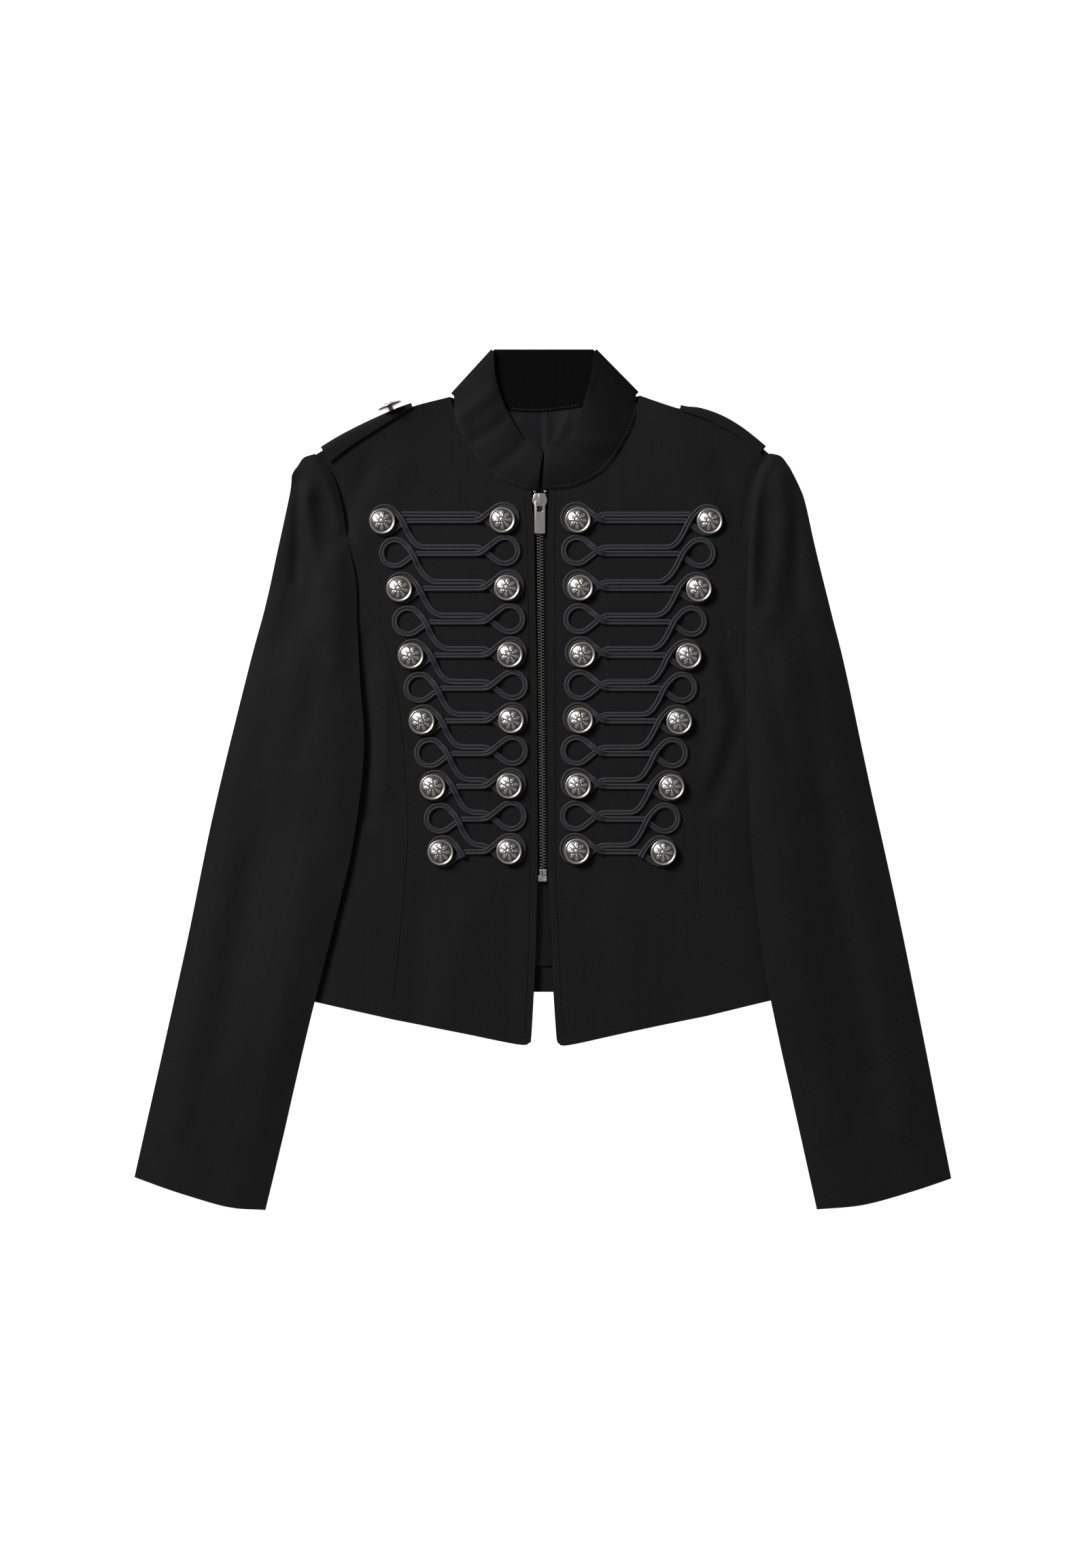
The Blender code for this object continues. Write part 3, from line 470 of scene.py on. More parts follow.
@dataclass(frozen=True)
class SoutacheWeave:
    """Plaited rayon over two cords: a herringbone that shines a little on each cord's crown.

    The UV map runs along the cord in metres, and across it from -1 to 1.
    """

    name: str = "black_soutache_plait"
    shade: str = "#0b0b0c"
    light: str = "#37373a"
    pitch: float = 1.9

    def build(self) -> bpy.types.Material:
        """Makes the plait: ribs that lean opposite ways on the two cords.

        Returns:
            The material.
        """
        made, tree, shader = new_material(self.name)
        shader.inputs["Roughness"].default_value = 0.5
        shader.inputs["Sheen Weight"].default_value = 0.05
        shader.inputs["Specular IOR Level"].default_value = 0.16
        place = add_node(tree, "ShaderNodeTexCoord").outputs["UV"]
        parts = add_node(tree, "ShaderNodeSeparateXYZ", None, {0: place})
        across = add_node(tree, "ShaderNodeMath", {"operation": "ABSOLUTE"}, {0: parts.outputs[1]})
        lean = add_node(
            tree, "ShaderNodeMath", {"operation": "MULTIPLY", 1: 9.0}, {0: across.outputs[0]}
        )
        turn = add_node(
            tree, "ShaderNodeMath", {"operation": "MULTIPLY_ADD", 1: 2 * math.pi / (self.pitch * MM)},
            {0: parts.outputs[0], 2: lean.outputs[0]},
        )
        wave = add_node(tree, "ShaderNodeMath", {"operation": "SINE"}, {0: turn.outputs[0]})
        rise = add_node(
            tree, "ShaderNodeMath", {"operation": "MULTIPLY_ADD", 1: 0.5, 2: 0.5}, {0: wave.outputs[0]}
        )
        color = two_tone(tree, self.shade, self.light, rise.outputs[0])
        tree.links.new(color, shader.inputs["Base Color"])
        add_bump(tree, shader, 0.8, 0.3, rise.outputs[0])
        return made


@dataclass(frozen=True)
class PlatedMetal:
    """Plated zinc or brass: bright where it is rubbed, darker in low places."""

    name: str
    bright: str
    dull: str
    roughness: float
    worn: float
    grain: float = 1400.0

    def build(self) -> bpy.types.Material:
        """Makes the plating, with tone and roughness that vary with the attribute "height".

        Returns:
            The material.
        """
        made, tree, shader = new_material(self.name)
        shader.inputs["Metallic"].default_value = 1.0
        place = add_node(tree, "ShaderNodeTexCoord").outputs["Object"]
        patina = add_node(
            tree, "ShaderNodeTexNoise", {"Scale": self.grain, "Detail": 4.0, "Roughness": 0.6},
            {"Vector": place},
        ).outputs["Fac"]
        height = add_node(tree, "ShaderNodeAttribute", {"attribute_name": "height"}).outputs["Fac"]
        worn = add_node(
            tree, "ShaderNodeMath", {"operation": "MULTIPLY_ADD", 1: self.worn, 2: 1 - self.worn},
            {0: height},
        ).outputs[0]
        spread = add_node(
            tree, "ShaderNodeMapRange",
            {"From Min": 0.3, "From Max": 0.7, "To Min": -0.12, "To Max": 0.12}, {"Value": patina},
        ).outputs[0]
        tone = add_node(
            tree, "ShaderNodeMath", {"operation": "ADD", "use_clamp": True}, {0: worn, 1: spread}
        ).outputs[0]
        color = two_tone(tree, self.dull, self.bright, tone)
        rough = add_node(
            tree, "ShaderNodeMapRange",
            {"To Min": self.roughness + 0.15, "To Max": self.roughness}, {"Value": tone},
        ).outputs[0]
        tree.links.new(color, shader.inputs["Base Color"])
        tree.links.new(rough, shader.inputs["Roughness"])
        return made


@dataclass(frozen=True)
class OpalBoard:
    """The opal board under the garment, lit from below so that no shadow shows on it."""

    name: str = "opal_white_board"
    shade: str = "#bcbcbb"
    glow: float = 0.95

    def build(self) -> bpy.types.Material:
        """Makes the glowing board.

        Returns:
            The material.
        """
        made, _, shader = new_material(self.name)
        shader.inputs["Base Color"].default_value = linear(self.shade)
        shader.inputs["Roughness"].default_value = 0.9
        shader.inputs["Emission Color"].default_value = linear("#ffffff")
        shader.inputs["Emission Strength"].default_value = self.glow
        return made


class Finish(Enum):
    """Every finish of the garment, by what it is made of."""

    # Worsted wool twill: matt, with faint slanted ribs and a dusty edge light
    TWILL = WovenCloth("charcoal_worsted_twill", "#0a0a0b", "#1c1c1d", 1.3, 0.8, 0.03)
    TWILL_BELOW = WovenCloth("charcoal_twill_underside", "#0a0a0b", "#1c1c1d", 1.3, 0.8, 0.03,
                             laid_on="Object")
    # Cotton zip tape: flat, close herringbone that hardly catches light
    TAPE = WovenCloth("black_cotton_tape", "#080808", "#161617", 1.0, 0.9, 0.0, 30.0, laid_on="Object")
    # Polyester thread: slightly shiny and a touch lighter than the cloth
    THREAD = WovenCloth("black_polyester_thread", "#161617", "#343437", 0.5, 0.5, 0.1, 45.0, 0.2,
                        laid_on="Object")
    # The same thread with painted shade, dark for the shade in the dips where it sinks into the cloth
    SUNK_THREAD = WovenCloth("black_sunk_thread", "#040404", "#0b0b0b", 0.5, 0.95, 0.0, 45.0, 0.2,
                             laid_on="Object")
    SATIN = Satin()
    SOUTACHE = SoutacheWeave()
    # Nickel plated brass, barrel polished: bright, with soft reflections
    NICKEL = PlatedMetal("polished_nickel_plate", "#e9e7e2", "#8c8a86", 0.2, 0.25)
    # Nickel plated brass teeth, a little duller than the other zip parts
    TOOTH = PlatedMetal("nickel_plated_teeth", "#b4b2ad", "#4a4845", 0.28, 0.35)
    # Oxidised zinc with its relief rubbed bright
    ANTIQUE = PlatedMetal("antique_silver_plate", "#d2cfc9", "#1c1b1a", 0.27, 0.95)

    def material(self) -> bpy.types.Material:
        """The finish's material, made once."""
        return bpy.data.materials.get(self.value.name) or self.value.build()


@dataclass(frozen=True)
class Fold:
    """A soft ridge or trough along a line of the cloth.

    Attributes:
        path: Points of its crest in plan, in millimetres.
        width: How far it fades to the sides, in millimetres.
        rise: Its height, or its depth where negative.
    """

    path: Guides
    width: float
    rise: float

    def at(self, spot: Vector) -> float:
        """The fold's height at a plan point."""
        line = [Vector(point) for point in self.path]
        away = (foot_on(line, spot) - spot).length / self.width
        return self.rise * math.exp(-away * away) if away < 3 else 0.0


class Relief:
    """The tops of finished pieces, for whatever lies on them."""

    def __init__(self, *objects: bpy.types.Object) -> None:
        """Reads the pieces' meshes, whose places are in their vertices."""
        self.trees = []
        for thing in objects:
            bm = bmesh.new()
            bm.from_mesh(thing.data)
            self.trees.append(BVHTree.FromBMesh(bm))
            bm.free()

    def top(self, x: float, y: float) -> float:
        """Finds the height of the cloth at a plan point.

        Args:
            x: Plan place in millimetres.
            y: Plan place in millimetres.

        Returns:
            The highest surface there, or the nearest one's height beside it.
        """
        found = []
        for tree in self.trees:
            hit = tree.ray_cast(Vector((x, y, RAY_START)) * MM, Vector((0, 0, -1)))[0]
            if hit is not None:
                found.append(hit.z / MM)
        if found:
            return max(found)
        near = [tree.find_nearest(Vector((x, y, MID_HEIGHT)) * MM) for tree in self.trees]
        return min(near, key=lambda hit: hit[3])[0].z / MM

    def highest(self, x: float, y: float, reach: float) -> float:
        """The highest cloth in a small window round a plan point."""
        return max(
            self.top(x + reach * i, y + reach * j) for i in (-1, 0, 1) for j in (-1, 0, 1)
        )


class Piece:
    """A mesh under construction, in metres at its final place."""

    def __init__(self, name: str) -> None:
        """Starts an empty piece."""
        self.name = name
        self.bm = bmesh.new()

    def finish(
        self, finish: Finish, body: Body = Body.GARMENT, nodes: Sequence[str] = (), sharp: float = 42.0
    ) -> bpy.types.Object:
        """Turns the mesh into a dressed object that rides on a body.

        Args:
            finish: What it is made of.
            body: The body that carries it.
            nodes: The CAD nodes that it stands for.
            sharp: Edges that turn more than this, in degrees, stay sharp.

        Returns:
            The object.
        """
        mesh = bpy.data.meshes.new(self.name)
        self.bm.to_mesh(mesh)
        self.bm.free()
        mesh.materials.append(finish.material())
        mesh.shade_smooth()
        mesh.set_sharp_from_angle(angle=math.radians(sharp))
        made = bpy.data.objects.new(self.name, mesh)
        bpy.context.scene.collection.objects.link(made)
        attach(made, body.value)
        if nodes:
            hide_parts(*nodes)
        LOG.info("%s: %d faces", self.name, len(mesh.polygons))
        return made


def turn_rim(made: bpy.types.Object, width: float) -> None:
    """Rounds the rim of a cloth piece.

    Args:
        made: The piece.
        width: Width of the rounding in millimetres.
    """
    rim = made.modifiers.new("turned_rim", "BEVEL")
    rim.width = width * MM
    rim.segments = 2
    rim.limit_method = "ANGLE"
    rim.angle_limit = math.radians(60)


FRONT_FOLDS = {
    Hand.LEFT: (
        Fold(((-134.5, 84), (-133, 40), (-135, -10)), 9, 1.3),
        Fold(((-147, 120), (-145, 40), (-147, -30)), 8, -1.5),
        Fold(((-154, 196), (-142, 228), (-122, 262)), 15, 1.4),
        Fold(((-166, 214), (-158, 238), (-146, 262)), 8, -1.1),
        Fold(((-60, -110), (-75, -160), (-80, -205)), 16, 1.0),
        Fold(((-100, -100), (-104, -150), (-108, -200)), 12, -0.8),
        Fold(((-26, -100), (-30, -150), (-30, -210)), 10, -0.6),
        Fold(((-184, 268), (-176, 257), (-170.5, 247), (-165.5, 231), (-162, 210)), 3.4, -1.1),
    ),
    Hand.RIGHT: (
        Fold(((156, 98), (166, 55), (158, 20), (142, -18)), 8, -1.9),
        Fold(((146, 90), (152, 50), (140, 5)), 8, 1.3),
        Fold(((150, 205), (138, 235), (118, 265)), 15, 1.2),
        Fold(((165, 214), (158, 238), (146, 262)), 8, -1.2),
        Fold(((66, -100), (74, -150), (70, -205)), 16, 1.0),
        Fold(((108, -90), (110, -150), (112, -198)), 12, -0.8),
        Fold(((185, 268), (176.5, 255.5), (171.5, 234), (169.5, 208)), 3.4, -1.2),
    ),
}
SLEEVE_FOLDS = {
    Hand.LEFT: (
        Fold(((-205.2, 251), (-205.5, 205), (-207, 167)), 5.5, -2.2),
        Fold(((-198.4, 240), (-194, 205), (-184, 164)), 7, 2.3),
        Fold(((-187, 231), (-178, 218), (-171, 205)), 8, -1.8),
        Fold(((-176, 185), (-172, 140), (-174, 95)), 9, 1.4),
        Fold(((-190, 110), (-196, 60), (-206, 20)), 10, -1.5),
        Fold(((-226, 150), (-240, 80), (-256, 0)), 13, 1.2),
        Fold(((-236, -30), (-252, -130), (-272, -230)), 13, -1.2),
        Fold(((-262, -60), (-284, -170), (-306, -290)), 12, 1.1),
        Fold(((-196, -70), (-216, -170), (-240, -290)), 12, 1.0),
        Fold(((-192, 266), (-184, 257), (-178.5, 247), (-173.5, 231), (-170, 210)), 4, 1.2),
    ),
    Hand.RIGHT: (
        Fold(((200.6, 255), (204, 225), (200, 193), (195, 167), (192.7, 141)), 8, 1.8),
        Fold(((211, 244), (214, 215), (213, 185), (212, 150)), 7, -1.5),
        Fold(((188, 230), (186, 190), (188, 150)), 8, -1.8),
        Fold(((190, 110), (196, 60), (206, 15)), 10, -1.5),
        Fold(((226, 150), (238, 80), (250, 0)), 13, 1.2),
        Fold(((238, -30), (254, -130), (276, -240)), 13, -1.2),
        Fold(((258, -60), (280, -170), (304, -290)), 12, 1.1),
        Fold(((204, -70), (222, -170), (246, -290)), 12, 1.0),
        Fold(((192, 267), (184.5, 256), (179.5, 235), (177.4, 208), (175.5, 150)), 4, 1.4),
    ),
}
COLLAR_FOLDS = (
    Fold(((-26, 306), (-42, 294), (-58, 285)), 5, -1.7),
    Fold(((-13, 285), (-26, 272), (-40, 262)), 5, -1.5),
    Fold(((12, 285), (30, 273), (56, 262)), 4.5, -2.0),
    Fold(((20, 290), (38, 283), (62, 280)), 5, 1.4),
    Fold(((-36, 330), (-50, 318), (-66, 306)), 6, 1.6),
    Fold(((40, 330), (52, 318), (66, 306)), 6, -1.2),
)
LINING_FOLDS = (
    Fold(((-1.2, 308), (-1.0, 200), (-1.2, -155)), 1.4, -0.5),
    Fold(((3.5, 308), (4.2, 290), (2.6, 265)), 3.0, 0.6),
    Fold(((-18, 300), (-10, 285), (-6, 262)), 4, 0.5),
    Fold(((20, 302), (14, 288), (8, 270)), 4, 0.5),
)


@dataclass(frozen=True)
class Cut:
    """The flat pattern piece: width, length and area, in metres and square metres."""

    width: float
    length: float
    area: float


@dataclass
class ClothWall:
    """One laid panel of cloth: a fine grid on its solid's form, with creases and a turned rim.

    Attributes:
        node: The CAD node that it stands for, and its own name.
        grid: Plan points in rows, in millimetres.
        thick: The cloth's thickness in millimetres.
        finish: What it is made of.
        cut: The flat size; not used.
        grain: How far the grain leans from +Y, in degrees.
        folds: Its creases.
        rests_on: What it lies on; not used.
        unevenness: Height of its slow random waves in millimetres.
        blur: Rounds of height smoothing.
        edge_round: How round its rim is, in millimetres.
    """

    node: str
    grid: Grid
    thick: float
    finish: Finish
    cut: Cut
    grain: float = 0.0
    folds: Sequence[Fold] = ()
    rests_on: Sequence[str] = ("back",)
    unevenness: float = 0.25
    blur: int = 24
    edge_round: float = 0.45

    def heights(self, nodes: dict[str, bpy.types.Object]) -> list[list[float]]:
        """Works out the top surface over the grid.

        Args:
            nodes: The CAD nodes by name.

        Returns:
            Heights in millimetres, in the grid's rows.
        """
        solid = Relief(nodes[self.node])
        rows = [[solid.top(point.x, point.y) for point in row] for row in self.grid]
        for _ in range(self.blur):
            rows = self.blurred(rows)
        for j, row in enumerate(self.grid):
            for i, point in enumerate(row):
                rows[j][i] += sum(fold.at(point) for fold in self.folds) + self.uneven(point)
        return rows

    def uneven(self, point: Vector) -> float:
        """Slow waves, as pressed cloth has when it lies."""
        slow = noise.noise(Vector((point.x / 34, point.y / 60, len(self.node))))
        quick = noise.noise(Vector((point.x / 13, point.y / 19, 7 + len(self.node))))
        return self.unevenness * (slow + 0.35 * quick)

    @staticmethod
    def blurred(rows: list[list[float]]) -> list[list[float]]:
        """Averages each height with its neighbours, along the rim only on the rim.

        Args:
            rows: Heights.

        Returns:
            Smoother heights.
        """
        last_row, last = len(rows) - 1, len(rows[0]) - 1
        result = []
        for j, row in enumerate(rows):
            line = []
            for i, here in enumerate(row):
                total, count = 2 * here, 2
                on_row = j in (0, last_row)
                on_side = i in (0, last)
                if not on_side:
                    total, count = total + row[i - 1] + row[i + 1], count + 2
                if not on_row:
                    total, count = total + rows[j - 1][i] + rows[j + 1][i], count + 2
                line.append(total / count)
            result.append(line)
        return result

    def build(self, nodes: dict[str, bpy.types.Object]) -> bpy.types.Object:
        """Makes the panel.

        Args:
            nodes: The CAD nodes by name.

        Returns:
            The panel's object.
        """
        heights = self.heights(nodes)
        rows, columns = len(self.grid) - 1, len(self.grid[0]) - 1
        piece = Piece("cloth_" + self.node)
        bm = piece.bm
        bmesh.ops.create_grid(bm, x_segments=columns, y_segments=rows, size=0.5)
        for vert in bm.verts:
            i = round((vert.co.x + 0.5) * columns)
            j = round((vert.co.y + 0.5) * rows)
            spot = self.grid[j][i]
            vert.co = Vector((spot.x, spot.y, heights[j][i])) * MM
        grown = bmesh.ops.extrude_face_region(bm, geom=bm.faces[:], use_keep_orig=True)
        lower = [item for item in grown["geom"] if isinstance(item, bmesh.types.BMVert)]
        bmesh.ops.translate(bm, verts=lower, vec=(0, 0, -self.thick * MM))
        bmesh.ops.recalc_face_normals(bm, faces=bm.faces[:])
        self.lay_grain(bm)
        made = piece.finish(self.finish, nodes=[self.node])
        turn_rim(made, self.edge_round)
        list(self.rests_on)
        return made

    def lay_grain(self, bm: bmesh.types.BMesh) -> None:
        """Gives the mesh a UV map in metres, turned to the cloth's grain.

        Args:
            bm: The mesh.
        """
        layer = bm.loops.layers.uv.new("grain")
        turn = Matrix.Rotation(math.radians(-self.grain), 2)
        for face in bm.faces:
            for loop in face.loops:
                loop[layer].uv = turn @ loop.vert.co.xy


@dataclass
class Jacket:
    """The cloth of body and sleeves, cut from the seams of both halves.

    Attributes:
        nodes: The CAD nodes by name.
        mesh_step: Width of a face in millimetres.
        seam: Gap between panels of the body.
        tuck: How far a sleeve's edge goes over the armhole's seam line.
        cloth: Thickness of the body's cloth.
        sleeve_cloth: Thickness of the sleeves' cloth.
        panels: The finished panels by name.
    """

    nodes: dict[str, bpy.types.Object]
    mesh_step: float = 3.2
    seam: float = 0.02
    tuck: float = 0.5
    cloth: float = 1.6
    sleeve_cloth: float = 1.5
    panels: dict[str, bpy.types.Object] = field(default_factory=dict)

    def steps(self, line: Sequence[Vector]) -> int:
        """How many faces fit along a line."""
        return max(2, round(sum((b - a).length for a, b in zip(line, line[1:])) / self.mesh_step))

    def shift(self, line: Sequence[Vector], x: float) -> list[Vector]:
        """Moves a line sideways by the seam's gap."""
        return [point + Vector((x, 0)) for point in line]

    def build(self) -> None:
        """Makes all the panels of body and sleeves."""
        self.build_back_lining()
        for half in HALVES:
            self.build_front(half)
            self.build_side_front(half)
            self.build_sleeve(half)

    def build_back_lining(self) -> None:
        """Makes the lining that shows inside the neck and below the zip."""
        across = 78
        top = [point + Vector((0, -0.1)) for point in smooth_line(BACK_NECK, across + 2)[1:-1]]
        bottom = smooth_line(((-140, -158), (0, -155.9), (140, -158)), across)
        rows = 130
        edges = [
            smooth_line((tuple(bottom[end]), (118 * sign, 0), (100 * sign, 200), tuple(top[end])), rows)
            for end, sign in ((0, -1), (-1, 1))
        ]
        self.panels["lining"] = ClothWall(
            "back_lining", coons(bottom, top, *edges), 1.0, Finish.SATIN, Cut(0.28, 0.476, 0.105),
            folds=LINING_FOLDS, unevenness=0.5, blur=6,
        ).build(self.nodes)

    def build_front(self, half: Half) -> None:
        """Makes a centre front.

        Args:
            half: Its side.
        """
        upper = joined(smooth_line(half.armhole, 24), smooth_line(half.underarm, 30)[:11])[::-1]
        outer_line = joined(smooth_line(half.princess, 60), upper)
        along = self.steps(outer_line)
        outer = self.shift(spaced(outer_line, along), -half.hand.value * self.seam)
        top = joined(*(
            smooth_line(line, self.steps(smooth_line(line, 40)))[::-1]
            for line in (half.shoulder, half.neck)
        ))
        bottom = smooth_line(half.hem_front, len(top) - 1)
        centre = smooth_line(half.centre_edge, along)
        outer[-1], outer[0] = top[0], bottom[0]
        node = "front_" + half.hand.word
        self.panels[node] = ClothWall(
            node, coons(bottom, top, outer, centre), self.cloth, Finish.TWILL, Cut(0.187, 0.545, 0.0665),
            folds=FRONT_FOLDS[half.hand], rests_on=("back_lining", "back"),
        ).build(self.nodes)

    def build_side_front(self, half: Half) -> None:
        """Makes a side front, from the princess seam to the side seam.

        Args:
            half: Its side.
        """
        sign = half.hand.value
        inner_line = smooth_line(half.princess, 60)
        along = self.steps(inner_line)
        inner = self.shift(spaced(inner_line, along), sign * self.seam)
        under_line = smooth_line(half.underarm, 30)[10:][::-1]
        across = self.steps(under_line)
        under = spaced(under_line, across)
        hem = smooth_line(half.hem_side, across)
        side = smooth_line(half.side_seam, along)
        under[-1], hem[-1] = inner[-1], inner[0]
        side[0], side[-1] = hem[0], under[0]
        node = "side_front_" + half.hand.word
        self.panels[node] = ClothWall(
            node, coons(hem, under, side, inner), self.cloth, Finish.TWILL, Cut(0.1, 0.373, 0.0255),
            folds=FRONT_FOLDS[half.hand], rests_on=("back",),
        ).build(self.nodes)

    def build_sleeve(self, half: Half) -> None:
        """Makes the two walls of a sleeve.

        Args:
            half: Its side.
        """
        sign = half.hand.value
        armhole = self.shift(smooth_line(half.armhole, 24), -sign * self.tuck)
        inner_line = joined(armhole, smooth_line(half.inner, 120))
        outer_line = smooth_line(half.outer, 120)
        along = self.steps(outer_line)
        inner, outer = spaced(inner_line, along)[::-1], spaced(outer_line, along)[::-1]
        across = 44
        cuff = smooth_line(half.cuff, across)
        cap = smooth_line(half.cap, across)
        cuff[0], cuff[-1] = outer[0], inner[0]
        cap[0], cap[-1] = outer[-1], inner[-1]
        grid = coons(cuff, cap, outer, inner)
        node = "top_sleeve_" + half.hand.word
        self.panels[node] = ClothWall(
            node, grid, self.sleeve_cloth, Finish.TWILL, Cut(0.2, 0.635, 0.0755), grain=sign * 12.5,
            folds=SLEEVE_FOLDS[half.hand], rests_on=("back", "side_front_" + half.hand.word),
            unevenness=0.6, blur=40,
        ).build(self.nodes)


@dataclass
class Ribbon:
    """Cloth through rows of space points, thickened to both sides and smoothed.

    Attributes:
        node: The CAD node that it stands for.
        rows: Space points in millimetres, in rows of equal length.
        thick: Its thickness in millimetres.
        cut: The flat size; not used.
        rests_on: What it lies on; not used.
        grain: Turn of the grain in plan, in degrees.
        rim: How round its rim is, in millimetres.
        nap: Painted shade on the cloth, one value a row: how much it darkens there.
    """

    node: str
    rows: Sequence[Sequence[Vector]]
    thick: float
    cut: Cut
    rests_on: Sequence[str]
    grain: float = 0.0
    rim: float = 0.5
    nap: Sequence[float] = ()

    def build(self) -> bpy.types.Object:
        """Makes the ribbon.

        Returns:
            Its object.
        """
        across, along = len(self.rows[0]) - 1, len(self.rows) - 1
        piece = Piece("cloth_" + self.node)
        bm = piece.bm
        bmesh.ops.create_grid(bm, x_segments=along, y_segments=across, size=0.5)
        layer = bm.loops.layers.uv.new("grain")
        shade_layer = bm.verts.layers.float.new("nap")
        turn = Matrix.Rotation(math.radians(-self.grain), 2)
        for vert in bm.verts:
            j = round((vert.co.x + 0.5) * along)
            i = round((vert.co.y + 0.5) * across)
            vert.co = self.rows[j][i] * MM
            # Painted shade per row, which the cloth's material turns into darker colour, sheen and gloss.
            vert[shade_layer] = self.nap[j] if self.nap else 0.0
        for face in bm.faces:
            for loop in face.loops:
                loop[layer].uv = turn @ loop.vert.co.xy
        bmesh.ops.recalc_face_normals(bm, faces=bm.faces[:])
        made = piece.finish(Finish.TWILL, nodes=[self.node], sharp=70)
        wall = made.modifiers.new("wall", "SOLIDIFY")
        wall.thickness = self.thick * MM
        wall.offset = 0
        turn_rim(made, self.rim)
        list(self.rests_on)
        return made


@dataclass
class StandCollar:
    """The stand collar: inside of its back on the floor, folded forward at both shoulders."""

    ground: Relief
    thick: float = 2.4
    across: int = 14
    back_steps: int = 30
    half_steps: int = 44
    front_top: float = 4.7
    fold_high: float = 5.3
    bulge: float = 4.5

    def line(
        self, neck: Vector, top: Vector, neck_high: float, top_high: float, bulge: float = 0.0
    ) -> list[Vector]:
        """Draws one line over the collar, from the neck seam to its top edge.

        Args:
            neck: Plan point on the neck seam.
            top: Plan point on the top edge.
            neck_high: Height there.
            top_high: Height at the top edge.
            bulge: How far the middle rises.

        Returns:
            Space points.
        """
        points = []
        for k in range(self.across + 1):
            t = k / self.across
            arch = math.sin(math.pi * t)
            spot = neck.lerp(top, t)
            high = neck_high + (top_high - neck_high) * t + bulge * arch
            if bulge:
                high += sum(fold.at(spot) for fold in COLLAR_FOLDS) * min(1, 3 * arch)
            points.append(Vector((spot.x, spot.y, high)))
        return points

    def half(self, half: Half) -> list[list[Vector]]:
        """Draws one half, from the centre front to the fold and under it.

        Args:
            half: Its side.

        Returns:
            Lines across the collar.
        """
        sign = half.hand.value
        inward = Vector((sign * 0.3, -0.3))
        seam = smooth_line(half.neck, self.half_steps)
        corner = Vector(half.collar_corner) - seam[-1]
        necks = [Vector(half.collar_centre)]
        for k, point in enumerate(seam[1:], 1):
            necks.append(point + inward.lerp(corner, ease(5 * k / self.half_steps - 4)))
        tops = smooth_line(half.collar_top, self.half_steps)
        lines = []
        for k, (neck, top) in enumerate(zip(necks, tops)):
            near = k / self.half_steps
            seam_high = max(self.ground.top(*seam[k]) - 0.8, self.fold_high)
            neck_high = seam_high + (self.fold_high - seam_high) * ease((near - 0.8) * 5)
            top_high = self.front_top + (self.fold_high - self.front_top) * ease(near)
            lines.append(self.line(neck, top, neck_high, top_high, self.bulge * (1 - near) ** 0.7))
        back_high = self.thick / 2
        radius = (self.fold_high - back_high) / 2
        fold = tops[-1] - necks[-1]
        away = Vector((fold.y, -fold.x)).normalized() * sign
        for step in range(1, 9):
            angle = math.radians(step * 22.5)
            shift = away * radius * math.sin(angle)
            high = back_high + radius * (1 + math.cos(angle))
            lines.append(self.line(necks[-1] + shift, tops[-1] + shift, high, high))
        return lines

    def build(self) -> bpy.types.Object:
        """Makes the collar.

        Returns:
            Its object.
        """
        back_high = self.thick / 2
        left, right = self.half(LEFT), self.half(RIGHT)
        neck = [point + Vector((0, 0.1)) for point in smooth_line(BACK_NECK, self.back_steps)[1:-1]]
        top = smooth_line(((-43.3, 361.7), (45.6, 361.7)), self.back_steps)[1:-1]
        back = [self.line(a, b, back_high, back_high) for a, b in zip(neck, top)]
        last = self.half_steps
        # Painted shade: 0.8 on the back and under both folds, the right half 0.15 at the front to 0.6 at the
        # shoulder, the left none.
        left_painted_shade = [0.8 * ease((k - last) / 3) for k in range(len(left))]
        right_painted_shade = [0.15 + 0.45 * ease(k / last) + 0.2 * ease((k - last) / 3) for k in range(len(right))]
        return Ribbon(
            "collar", left + back + right[::-1], self.thick, Cut(0.052, 0.46, 0.0175),
            ("back_lining", "front_left", "front_right"), rim=0.5,
            nap=left_painted_shade + [0.8] * len(back) + right_painted_shade[::-1],
        ).build()


